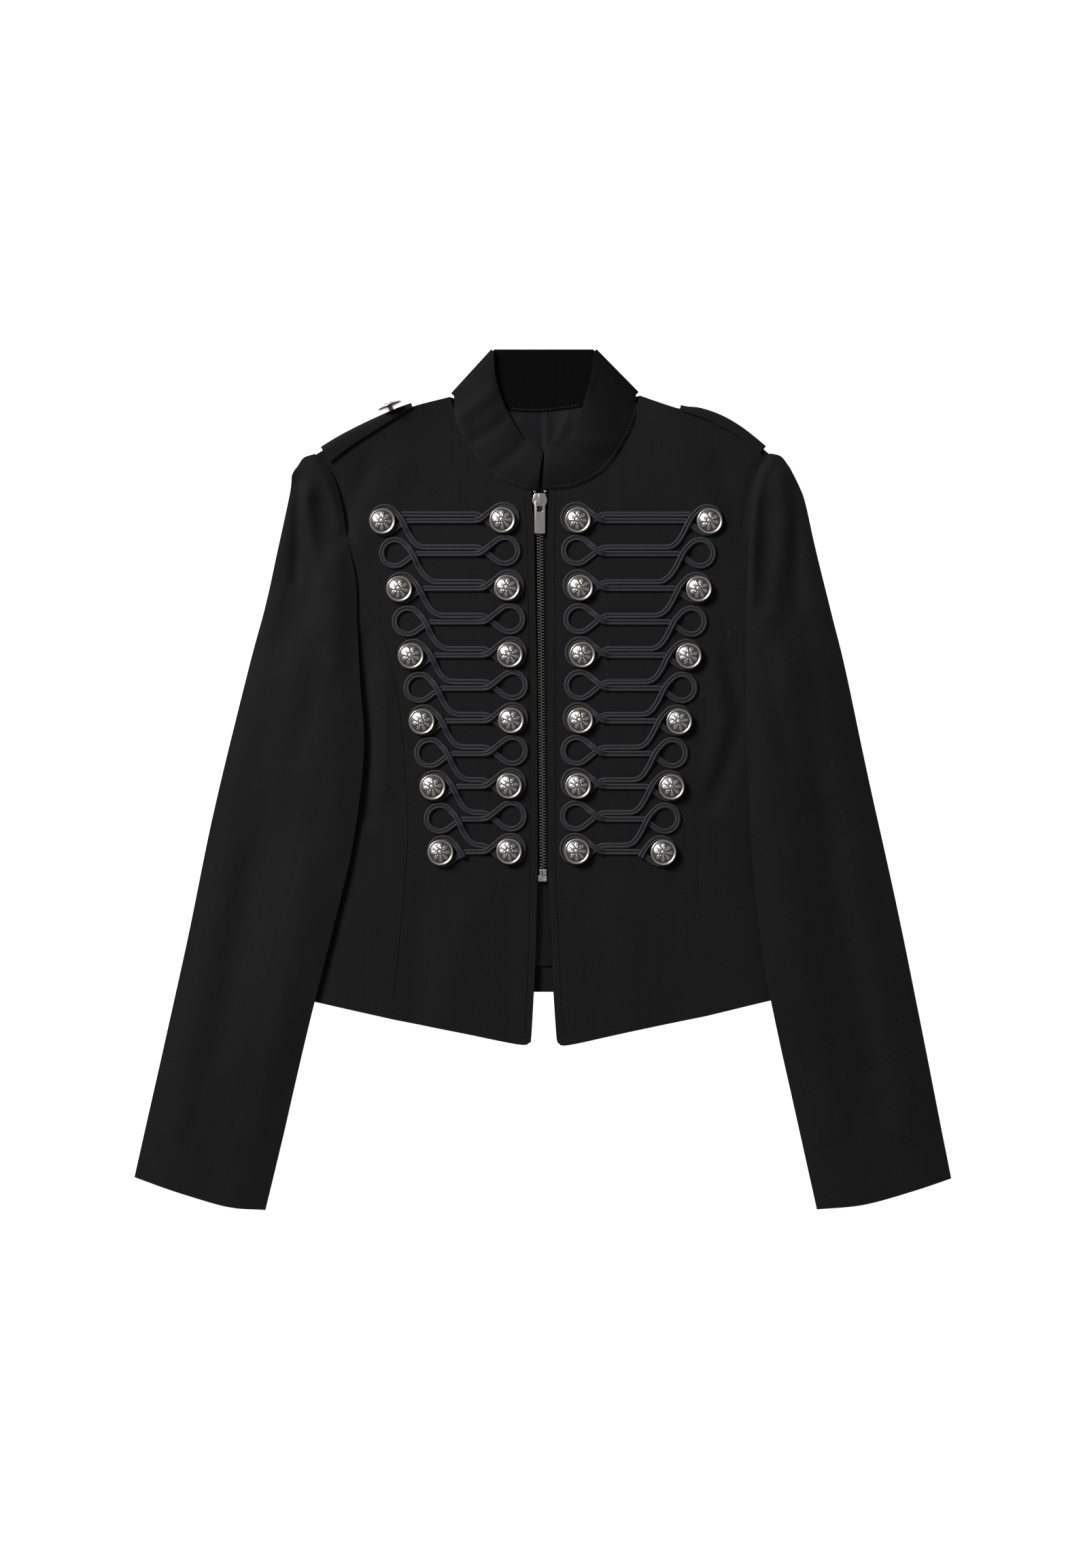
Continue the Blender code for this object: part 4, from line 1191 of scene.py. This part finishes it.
@dataclass
class ShoulderStrap:
    """A pointed strap folded over the shoulder line."""

    half: Half
    front: Relief
    nodes: dict[str, bpy.types.Object]
    thick: float = 1.5
    clear: float = 0.6
    fold: float = 1.5
    stations: int = 36

    def stretched(self) -> list[tuple[Vector, float, float]]:
        """Spreads the strap's table over more stations.

        Returns:
            The plan point, the front width and the back width of each.
        """
        guides = [Vector((x, y, front)) for x, y, front, _ in self.half.strap]
        backs = [Vector((x, y, back)) for x, y, _, back in self.half.strap]
        both = zip(spaced(guides, self.stations), spaced(backs, self.stations))
        return [(Vector(a.xy), a.z, b.z) for a, b in both]

    def build(self) -> bpy.types.Object:
        """Makes the strap.

        Returns:
            Its object.
        """
        sign = self.half.hand.value
        node = "shoulder_strap_" + self.half.hand.word
        solid = BVHTree.FromObject(self.nodes["back"], bpy.context.evaluated_depsgraph_get())
        shoulder = smooth_line(self.half.shoulder, 40)
        places = self.stretched()
        spots = [foot_on(shoulder, spot) for spot, _, _ in places]
        rows = []
        for k, (_, front_wide, back_wide) in enumerate(places):
            spot = spots[k]
            along = (spots[min(k + 1, len(spots) - 1)] - spots[max(k - 1, 0)]).normalized()
            inward = Vector((along.y, -along.x)) * sign

            def below(depth: float) -> float:
                """Height of the strap's back half at a depth under the shoulder."""
                at = spot + inward * depth
                hit = solid.find_nearest(Vector((at.x, at.y, -5)) * MM)[0]
                return max(hit.z / MM - 0.5 - self.thick / 2, self.thick / 2)

            def over(depth: float) -> float:
                """Height of the strap's front half at a depth in from the shoulder."""
                at = spot + inward * depth
                return self.front.highest(at.x, at.y, 1.5) + 0.35 + self.thick / 2

            low, high = below(0), over(1.0)
            middle, radius = (low + high) / 2, (high - low) / 2
            profile = [(back_wide * t, below(back_wide * t)) for t in (1, 0.75, 0.5, 0.25)]
            profile.append((0, low))
            for turn in (-60, -30, 0, 30, 60):
                angle = math.radians(turn)
                out = self.thick / 2 + self.clear + self.fold * math.cos(angle)
                profile.append((-out, middle + radius * math.sin(angle)))
            profile.append((0, high))
            profile += [(front_wide * t, over(front_wide * t)) for t in (0.25, 0.5, 0.75, 1)]
            rows.append([
                Vector((spot.x + inward.x * depth, spot.y + inward.y * depth, height))
                for depth, height in profile
            ])
        return Ribbon(
            node, rows, self.thick, Cut(0.033, 0.09, 0.0026), ("front_" + self.half.hand.word,),
            grain=sign * 25,
        ).build()


@dataclass
class SoutacheBraid:
    """One side's cord: eleven pairs of strands with a loop at each end, laid without a cut.

    Attributes:
        half: Its side.
        ground: The cloth under it.
    """

    half: Half
    ground: Relief
    ring: float = 11.1
    pair: float = 2.7
    ring_steps: int = 26
    gap: float = 0.3
    crossing_rise: float = 1.75
    outer_drop: float = 2.0
    neck_crossing: float = 17.6
    outer_turn: float = 17.5
    step: float = 1.6
    section: Guides = (
        (-2.3, 0.0), (-2.5, 0.55), (-2.25, 1.2), (-1.7, 1.62), (-1.1, 1.68), (-0.5, 1.4), (0.0, 0.8),
        (0.5, 1.4), (1.1, 1.68), (1.7, 1.62), (2.25, 1.2), (2.5, 0.55), (2.3, 0.0),
    )
    diagonal: Sequence[tuple[float, float, float]] = (
        (13.5, 1.8, 1.0), (17.0, -5.0, 1.0), (20.3, -12.0, 0.0), (24.5, -18.5, 0.0), (28.5, -21.8, 0.0),
    )

    def loop(self, centre: tuple[float, float], start: float, stop: float) -> list[Vector]:
        """Draws a loop round a centre.

        Args:
            centre: Plan point.
            start: First angle in degrees, from the zip-ward direction.
            stop: Last angle.

        Returns:
            Points with their level as z.
        """
        zipward = -self.half.hand.value
        points = []
        for k in range(self.ring_steps + 1):
            angle = math.radians(start + (stop - start) * k / self.ring_steps)
            points.append(Vector((
                centre[0] + zipward * self.ring * math.cos(angle),
                centre[1] + self.ring * math.sin(angle), 0,
            )))
        return points

    def route(self) -> list[Vector]:
        """Draws the cord's way in plan.

        Returns:
            Points with their level as z: 1 where the cord crosses over itself.
        """
        half, zipward = self.half, -self.half.hand.value
        lean = math.asin(self.ring / self.neck_crossing)
        around = 90 + math.degrees(lean)
        points: list[Vector] = []
        last = len(ROW_Y) - 1
        for row, y in enumerate(ROW_Y):
            inner = (half.ring_inner[row], y)
            outer = (half.ring_outer[row], y - self.outer_drop)
            lead = outer[0] + zipward * 14.0
            if row:
                lead = half.ring_outer[row - 1] + zipward * 32.0
            points.append(Vector((lead, y + self.pair, 0)))
            points.append(Vector((inner[0] - zipward * 22.0, y + self.pair, 0)))
            points.append(Vector((inner[0] - zipward * self.neck_crossing, y, 0)))
            points += self.loop(inner, -around, around)
            for away, level in ((9.5, 0), (5.0, 1), (0.0, 1)):
                out = self.neck_crossing - away * math.cos(lean)
                points.append(Vector((inner[0] - zipward * out, y + away * math.sin(lean), level)))
            points.append(Vector((inner[0] - zipward * 19.8, y - 2.0, 1)))
            points.append(Vector((inner[0] - zipward * 25.0, y - self.pair, 0)))
            points.append(Vector((outer[0] + zipward * self.outer_turn, y - self.pair, 0)))
            drop = self.outer_drop - self.pair
            reach = math.hypot(self.outer_turn, drop)
            tilt = math.degrees(math.acos(self.ring / reach) - math.asin(drop / reach))
            points += self.loop(outer, -tilt, -320)
            steps = self.diagonal if row < last else self.diagonal[:2]
            points += [Vector((outer[0] + zipward * a, outer[1] + b, level)) for a, b, level in steps]
        return points

    def path(self) -> list[Vector]:
        """Lays the route on the cloth.

        Returns:
            Space points in millimetres at short equal steps, softened where the cord bends.
        """
        points = self.route()
        total = sum((b - a).length for a, b in zip(points, points[1:]))
        line = spaced(points, round(total / self.step))
        for _ in range(2):
            line = [line[0], *((a + 2 * b + c) / 4 for a, b, c in zip(line, line[1:], line[2:])), line[-1]]
        return [
            Vector((p.x, p.y, self.ground.highest(p.x, p.y, 1.8) + self.gap + ease(p.z) * self.crossing_rise))
            for p in line
        ]

    def build(self) -> bpy.types.Object:
        """Sweeps the two-cord section along the path.

        Returns:
            The braid's object.
        """
        piece = Piece("soutache_" + self.half.hand.word)
        bm = piece.bm
        path = self.path()
        count = len(self.section)
        ring = [bm.verts.new((0, 0, 0)) for _ in self.section]
        edges = [bm.edges.new((ring[k], ring[(k + 1) % count])) for k in range(count)]
        bm.faces.new(ring)
        layer = bm.loops.layers.uv.new("plait")
        marks: dict[bmesh.types.BMVert, tuple[float, float]] = {}
        travelled = 0.0
        for k, point in enumerate(path):
            before, after = path[max(k - 1, 0)], path[min(k + 1, len(path) - 1)]
            along = (after - before).xy.normalized()
            across = Vector((-along.y, along.x, 0))
            if k:
                travelled += (point - path[k - 1]).length
                grown = bmesh.ops.extrude_edge_only(bm, edges=edges)["geom"]
                edges = [item for item in grown if isinstance(item, bmesh.types.BMEdge)
                         and all(v not in marks for v in item.verts)]
                ring = self.ordered(ring, marks)
            for vert, (side, high) in zip(ring, self.section):
                vert.co = (point + across * side + Vector((0, 0, high))) * MM
                marks[vert] = (travelled * MM, side / 2.5)
        bm.faces.new(ring)
        for face in bm.faces:
            for loop in face.loops:
                loop[layer].uv = marks[loop.vert]
        bmesh.ops.recalc_face_normals(bm, faces=bm.faces[:])
        return piece.finish(Finish.SOUTACHE, nodes=["braid_" + self.half.hand.word], sharp=80)

    @staticmethod
    def ordered(ring: Sequence[bmesh.types.BMVert], marks: dict) -> list[bmesh.types.BMVert]:
        """Puts the newly extruded section's points in the order of the last one's.

        Args:
            ring: The last section's points.
            marks: The points that are already placed.

        Returns:
            The new points.
        """
        return [
            next(other for edge in vert.link_edges
                 if (other := edge.other_vert(vert)) not in marks)
            for vert in ring
        ]


@dataclass
class MetalZip:
    """The open-ended zip: teeth, tapes, stops, box, slider and pull."""

    nodes: dict[str, bpy.types.Object]
    pitch: float = 2.4
    tooth: tuple[float, float, float] = (2.7, 0.8, 1.9)
    low: float = 4.15
    top: tuple[float, float] = (-2.3, 233.5)
    foot: tuple[float, float] = (0.5, -74.0)
    overlap: float = 0.35
    rounding: float = 0.22
    hard_parts: Sequence[str] = (
        "zip_slider", "zip_box", "zip_pin_left", "zip_pin_right", "zip_stop_left", "zip_stop_right",
    )

    def chain_x(self, y: float) -> float:
        """Middle of the chain at a height of the plan."""
        t = (y - self.top[1]) / (self.foot[1] - self.top[1])
        return self.top[0] + (self.foot[0] - self.top[0]) * t

    def teeth(self, hand: Hand) -> bpy.types.Object:
        """Makes one side's teeth, which mesh with the other side's.

        Args:
            hand: The side.

        Returns:
            All its teeth as one piece.
        """
        piece = Piece("zip_teeth_" + hand.word)
        wide, long, high = self.tooth
        count = int((self.top[1] - self.foot[1] - 4) / self.pitch)
        start = self.foot[1] + 1.2 + (self.pitch / 2 if hand is Hand.RIGHT else 0)
        for k in range(count):
            y = start + k * self.pitch
            x = self.chain_x(y) + hand.value * (wide / 2 - self.overlap)
            base = Matrix.Translation(Vector((x, y, self.low + high / 2)) * MM)
            size = Matrix.Diagonal((wide * MM, long * MM, high * MM, 1))
            bmesh.ops.create_cube(piece.bm, size=1, matrix=base @ size)
            grip_x = self.chain_x(y) + hand.value * (wide - self.overlap - 0.1)
            grip = Matrix.Translation(Vector((grip_x, y, self.low + high / 2)) * MM)
            size = Matrix.Diagonal((0.9 * MM, 1.15 * MM, high * 0.8 * MM, 1))
            bmesh.ops.create_cube(piece.bm, size=1, matrix=grip @ size)
        bmesh.ops.bevel(
            piece.bm, geom=piece.bm.edges[:], offset=0.2 * MM, segments=1, profile=0.5,
            affect="EDGES", material=-1, clamp_overlap=True,
        )
        return piece.finish(Finish.TOOTH, nodes=["zip_chain_" + hand.word])

    def rounded(self, node: str, body: Body) -> bpy.types.Object:
        """Makes a hard part again with its edges rubbed round.

        Args:
            node: Its CAD node.
            body: What it rides on.

        Returns:
            The piece.
        """
        piece = Piece("plated_" + node)
        bm = piece.bm
        bm.from_mesh(self.nodes[node].data)
        bmesh.ops.remove_doubles(bm, verts=bm.verts[:], dist=0.004 * MM)
        bmesh.ops.dissolve_limit(
            bm, angle_limit=math.radians(1), verts=bm.verts[:], edges=bm.edges[:]
        )
        edges = [edge for edge in bm.edges if edge.is_manifold and edge.calc_face_angle(0) > 0.5]
        bmesh.ops.bevel(
            bm, geom=edges, offset=self.rounding * MM, segments=2, profile=0.5, affect="EDGES",
            material=-1, clamp_overlap=True,
        )
        bmesh.ops.recalc_face_normals(bm, faces=bm.faces[:])
        return piece.finish(Finish.NICKEL, body, nodes=[node])

    def build(self) -> None:
        """Makes every part of the zip."""
        for hand in Hand:
            self.teeth(hand)
            tape = self.nodes["zip_tape_" + hand.word]
            tape.data.materials.clear()
            tape.data.materials.append(Finish.TAPE.material())
        for node in self.hard_parts:
            self.rounded(node, Body.GARMENT)
        self.rounded("zip_pull", Body.PULL)


@dataclass
class DomeButton:
    """A domed metal shank button with a raised rim and a rosette of eight leaves."""

    node: str
    place: Matrix
    segments: int = 64
    dome: float = 8.7
    dome_low: float = 4.35
    dome_high: float = 2.5
    rings: int = 18
    leaves: int = 8
    relief: float = 0.5

    def profile(self) -> list[tuple[float, float]]:
        """Radius and height from the shank's foot to the dome's pole."""
        base = [(0.0, 0.0), (2.2, 0.0), (2.2, 3.0), (9.9, 3.1), (10.6, 3.4), (10.85, 4.0), (10.6, 4.6),
                (10.1, 4.9), (9.6, 4.8), (9.1, 4.45)]
        cap = []
        for k in range(self.rings + 1):
            radius = self.dome * (1 - k / self.rings)
            cap.append((radius, self.dome_low + self.dome_high * (1 - (radius / self.dome) ** 2)))
        return base + cap

    def rosette(self, radius: float, angle: float) -> float:
        """How much of the relief stands at a place of the dome, from 0 to 1."""
        boss = 1 - ease((radius - 1.3) / 0.7)
        leaf_wide = max(0.0, math.cos(self.leaves / 2 * angle) ** 2 - 0.18 - 0.55 * ease((radius - 5) / 3))
        leaf = ease(leaf_wide * 4) * ease((radius - 2.3) / 0.8) * (1 - ease((radius - 7.3) / 0.8))
        vein = 0.35 * ease(1 - abs(math.sin(self.leaves / 2 * angle)) * radius / 0.9)
        return max(boss, leaf * (1 - vein))

    def build(self) -> bpy.types.Object:
        """Makes the button.

        Returns:
            Its object.
        """
        piece = Piece("dome_" + self.node)
        bm = piece.bm
        verts = [bm.verts.new((radius * MM, 0, high * MM)) for radius, high in self.profile()]
        edges = [bm.edges.new(pair) for pair in zip(verts, verts[1:])]
        bmesh.ops.spin(
            bm, geom=verts + edges, cent=(0, 0, 0), axis=(0, 0, 1), angle=2 * math.pi,
            steps=self.segments, use_merge=True,
        )
        bmesh.ops.remove_doubles(bm, verts=bm.verts[:], dist=0.01 * MM)
        bmesh.ops.recalc_face_normals(bm, faces=bm.faces[:])
        layer = bm.verts.layers.float.new("height")
        for vert in bm.verts:
            radius, high = vert.co.xy.length / MM, vert.co.z / MM
            if high < 3.05:
                vert[layer] = 0.3
            elif radius > 9.0:
                vert[layer] = 1.0 if high > 4.55 else 0.45
            else:
                raised = self.rosette(radius, math.atan2(vert.co.y, vert.co.x))
                vert[layer] = 0.16 + 0.84 * raised if radius < 8.3 else 0.08
                vert.co.z += self.relief * raised * MM
        bmesh.ops.transform(bm, matrix=self.place, verts=bm.verts[:])
        return piece.finish(Finish.ANTIQUE, nodes=[self.node])


@dataclass
class ButtonSet:
    """The rows of dome buttons, and the one on edge at the left strap."""

    strap_spot: tuple[float, float] = (-125.0, 306.2)
    strap_high: float = 11.3
    strap_out: float = 3.95

    def build(self, nodes: dict[str, bpy.types.Object]) -> None:
        """Makes all the buttons.

        Args:
            nodes: The CAD nodes by name.
        """
        for k, node in enumerate(sorted(name for name in nodes if name.startswith("button_"))):
            if node == "button_strap":
                place = self.on_strap()
            else:
                low, high = (Vector(corner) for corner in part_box(node))
                middle = (low + high) / 2
                spot = Matrix.Translation((middle.x, middle.y, low.z))
                place = spot @ Matrix.Rotation(math.radians(37 * k), 4, "Z")
            DomeButton(node, place).build()

    def on_strap(self) -> Matrix:
        """Places the strap's button on edge, with its shank on the strap's fold."""
        shoulder = smooth_line(LEFT.shoulder, 4)
        outward = Vector((shoulder[2].y - shoulder[1].y, shoulder[1].x - shoulder[2].x)).normalized()
        foot = foot_on(shoulder, Vector(self.strap_spot)) + outward * self.strap_out
        heading = math.atan2(outward.y, outward.x) + math.pi / 2
        spot = Matrix.Translation(Vector((foot.x, foot.y, self.strap_high)) * MM)
        return spot @ Matrix.Rotation(heading, 4, "Z") @ Matrix.Rotation(math.pi / 2, 4, "X")


@dataclass
class TopStitching:
    """A row of lockstitches that lie in the cloth along a line."""

    name: str
    line: Sequence[Vector]
    ground: Relief
    raise_by: float = 0.0
    stitch: float = 2.4
    pitch: float = 3.1
    wide: float = 0.5
    high: float = 0.4
    thread: Finish = Finish.THREAD

    def build(self) -> bpy.types.Object:
        """Makes the row.

        Returns:
            All its stitches as one piece.
        """
        piece = Piece(self.name)
        total = sum((b - a).length for a, b in zip(self.line, self.line[1:]))
        spots = spaced(list(self.line), max(2, round(total / self.pitch)))
        for a, b in zip(spots, spots[1:]):
            middle = (a + b) / 2
            heading = math.atan2(b.y - a.y, b.x - a.x)
            rise = self.ground.top(b.x, b.y) - self.ground.top(a.x, a.y)
            height = self.ground.top(middle.x, middle.y) + self.raise_by
            place = (
                Matrix.Translation(Vector((middle.x, middle.y, height)) * MM)
                @ Matrix.Rotation(heading, 4, "Z")
                @ Matrix.Rotation(-math.atan2(rise, max((b - a).length, 0.1)), 4, "Y")
                @ Matrix.Diagonal((self.stitch * MM, self.wide * MM, self.high * MM, 1))
            )
            bmesh.ops.create_cube(piece.bm, size=1, matrix=place)
        bmesh.ops.bevel(
            piece.bm, geom=piece.bm.edges[:], offset=0.14 * MM, segments=1, profile=0.5,
            affect="EDGES", material=-1, clamp_overlap=True,
        )
        return piece.finish(self.thread)


@dataclass
class Studio:
    """A glowing white board, one softbox at the upper left, and a camera straight above."""

    mm_per_pixel: float = 0.57
    picture: tuple[int, int] = (1596, 2306)
    centre_y: float = -3.1
    distance: float = 3.2
    plane: float = 0.006
    board: float = 4.0
    board_gap: float = 0.2
    key_place: tuple[float, float, float] = (-2.8, 2.4, 2.5)
    key_size: float = 1.4
    key_power: float = 330.0
    surroundings: float = 0.26
    sensor: float = 24.0

    def build(self) -> None:
        """Makes the board, the light and the camera."""
        scene = bpy.context.scene
        bm = bmesh.new()
        bmesh.ops.create_grid(bm, x_segments=1, y_segments=1, size=self.board)
        bmesh.ops.translate(bm, verts=bm.verts[:], vec=(0, 0, -self.board_gap * MM))
        mesh = bpy.data.meshes.new("board")
        bm.to_mesh(mesh)
        bm.free()
        mesh.materials.append(OpalBoard().build())
        board = bpy.data.objects.new("board", mesh)
        scene.collection.objects.link(board)
        self.light("key_softbox", self.key_place, self.key_size, self.key_power)
        world = bpy.data.worlds.new("studio")
        world.use_nodes = True
        world.node_tree.nodes["Background"].inputs["Color"].default_value = linear("#ffffff")
        world.node_tree.nodes["Background"].inputs["Strength"].default_value = self.surroundings
        scene.world = world
        scene.view_settings.view_transform = "Standard"
        data = bpy.data.cameras.new("above")
        data.sensor_fit = "VERTICAL"
        data.sensor_height = self.sensor
        view_height = self.picture[1] * self.mm_per_pixel * MM
        data.lens = self.sensor * (self.distance - self.plane) / view_height
        camera = bpy.data.objects.new("above", data)
        camera.location = (0, self.centre_y * MM, self.distance)
        scene.collection.objects.link(camera)
        scene.camera = camera

    def light(self, name: str, place: tuple[float, float, float], size: float, power: float) -> None:
        """Hangs a square softbox that faces the garment.

        Args:
            name: Its name.
            place: Where it hangs, in metres.
            size: Its width in metres.
            power: Its power in watts.
        """
        data = bpy.data.lights.new(name, "AREA")
        data.size = size
        data.energy = power
        lamp = bpy.data.objects.new(name, data)
        lamp.location = place
        lamp.rotation_euler = (-Vector(place)).to_track_quat("-Z", "Y").to_euler()
        bpy.context.scene.collection.objects.link(lamp)


def stitch_lines(half: Half, front: Relief, collar: Relief) -> None:
    """Sews the rows that show on one half.

    Args:
        half: Its side.
        front: The front's surface.
        collar: The collar's middle surface.
    """
    sign = half.hand.value
    edge = smooth_line(half.centre_edge, 60)
    # The edge row uses the thread with painted shade.
    TopStitching(
        "edge_stitching_" + half.hand.word,
        [point + Vector((sign * 6.0, 0)) for point in edge[1:-1]], front, 0.02,
        thread=Finish.SUNK_THREAD,
    ).build()
    neck = smooth_line(half.neck, 30)[1:-2]
    TopStitching(
        "collar_stitching_" + half.hand.word,
        [point + Vector((-sign * 1.6, 1.9)) for point in neck], collar, 1.25,
    ).build()


def main(frame: dict) -> None:
    """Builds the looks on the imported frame.
    """
    logging.basicConfig(level=logging.INFO, format="%(name)s: %(message)s")
    nodes = frame["nodes"]
    Studio().build()
    for node in ("back", "under_sleeve_left", "under_sleeve_right"):
        nodes[node].data.materials.clear()
        nodes[node].data.materials.append(Finish.TWILL_BELOW.material())
    jacket = Jacket(nodes)
    jacket.build()
    fronts = {
        half.hand: Relief(
            jacket.panels["front_" + half.hand.word], jacket.panels["side_front_" + half.hand.word]
        )
        for half in HALVES
    }
    collar = StandCollar(Relief(*(jacket.panels["front_" + hand.word] for hand in Hand))).build()
    TopStitching(
        "neck_stitching", [point + Vector((0, 2.4)) for point in smooth_line(BACK_NECK, 40)[13:-13]],
        Relief(collar), 1.25,
    ).build()
    for half in HALVES:
        ShoulderStrap(half, fronts[half.hand], nodes).build()
        SoutacheBraid(half, fronts[half.hand]).build()
        stitch_lines(half, fronts[half.hand], Relief(collar))
    MetalZip(nodes).build()
    ButtonSet().build(nodes)


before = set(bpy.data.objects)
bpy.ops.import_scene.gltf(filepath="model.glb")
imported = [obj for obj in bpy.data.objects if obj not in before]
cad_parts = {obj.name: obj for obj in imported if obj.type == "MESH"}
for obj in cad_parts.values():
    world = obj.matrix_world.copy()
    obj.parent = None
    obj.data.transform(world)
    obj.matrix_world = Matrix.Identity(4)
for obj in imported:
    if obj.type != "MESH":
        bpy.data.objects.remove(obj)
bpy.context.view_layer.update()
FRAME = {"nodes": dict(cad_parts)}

if __name__ == "__main__":
    main(FRAME)
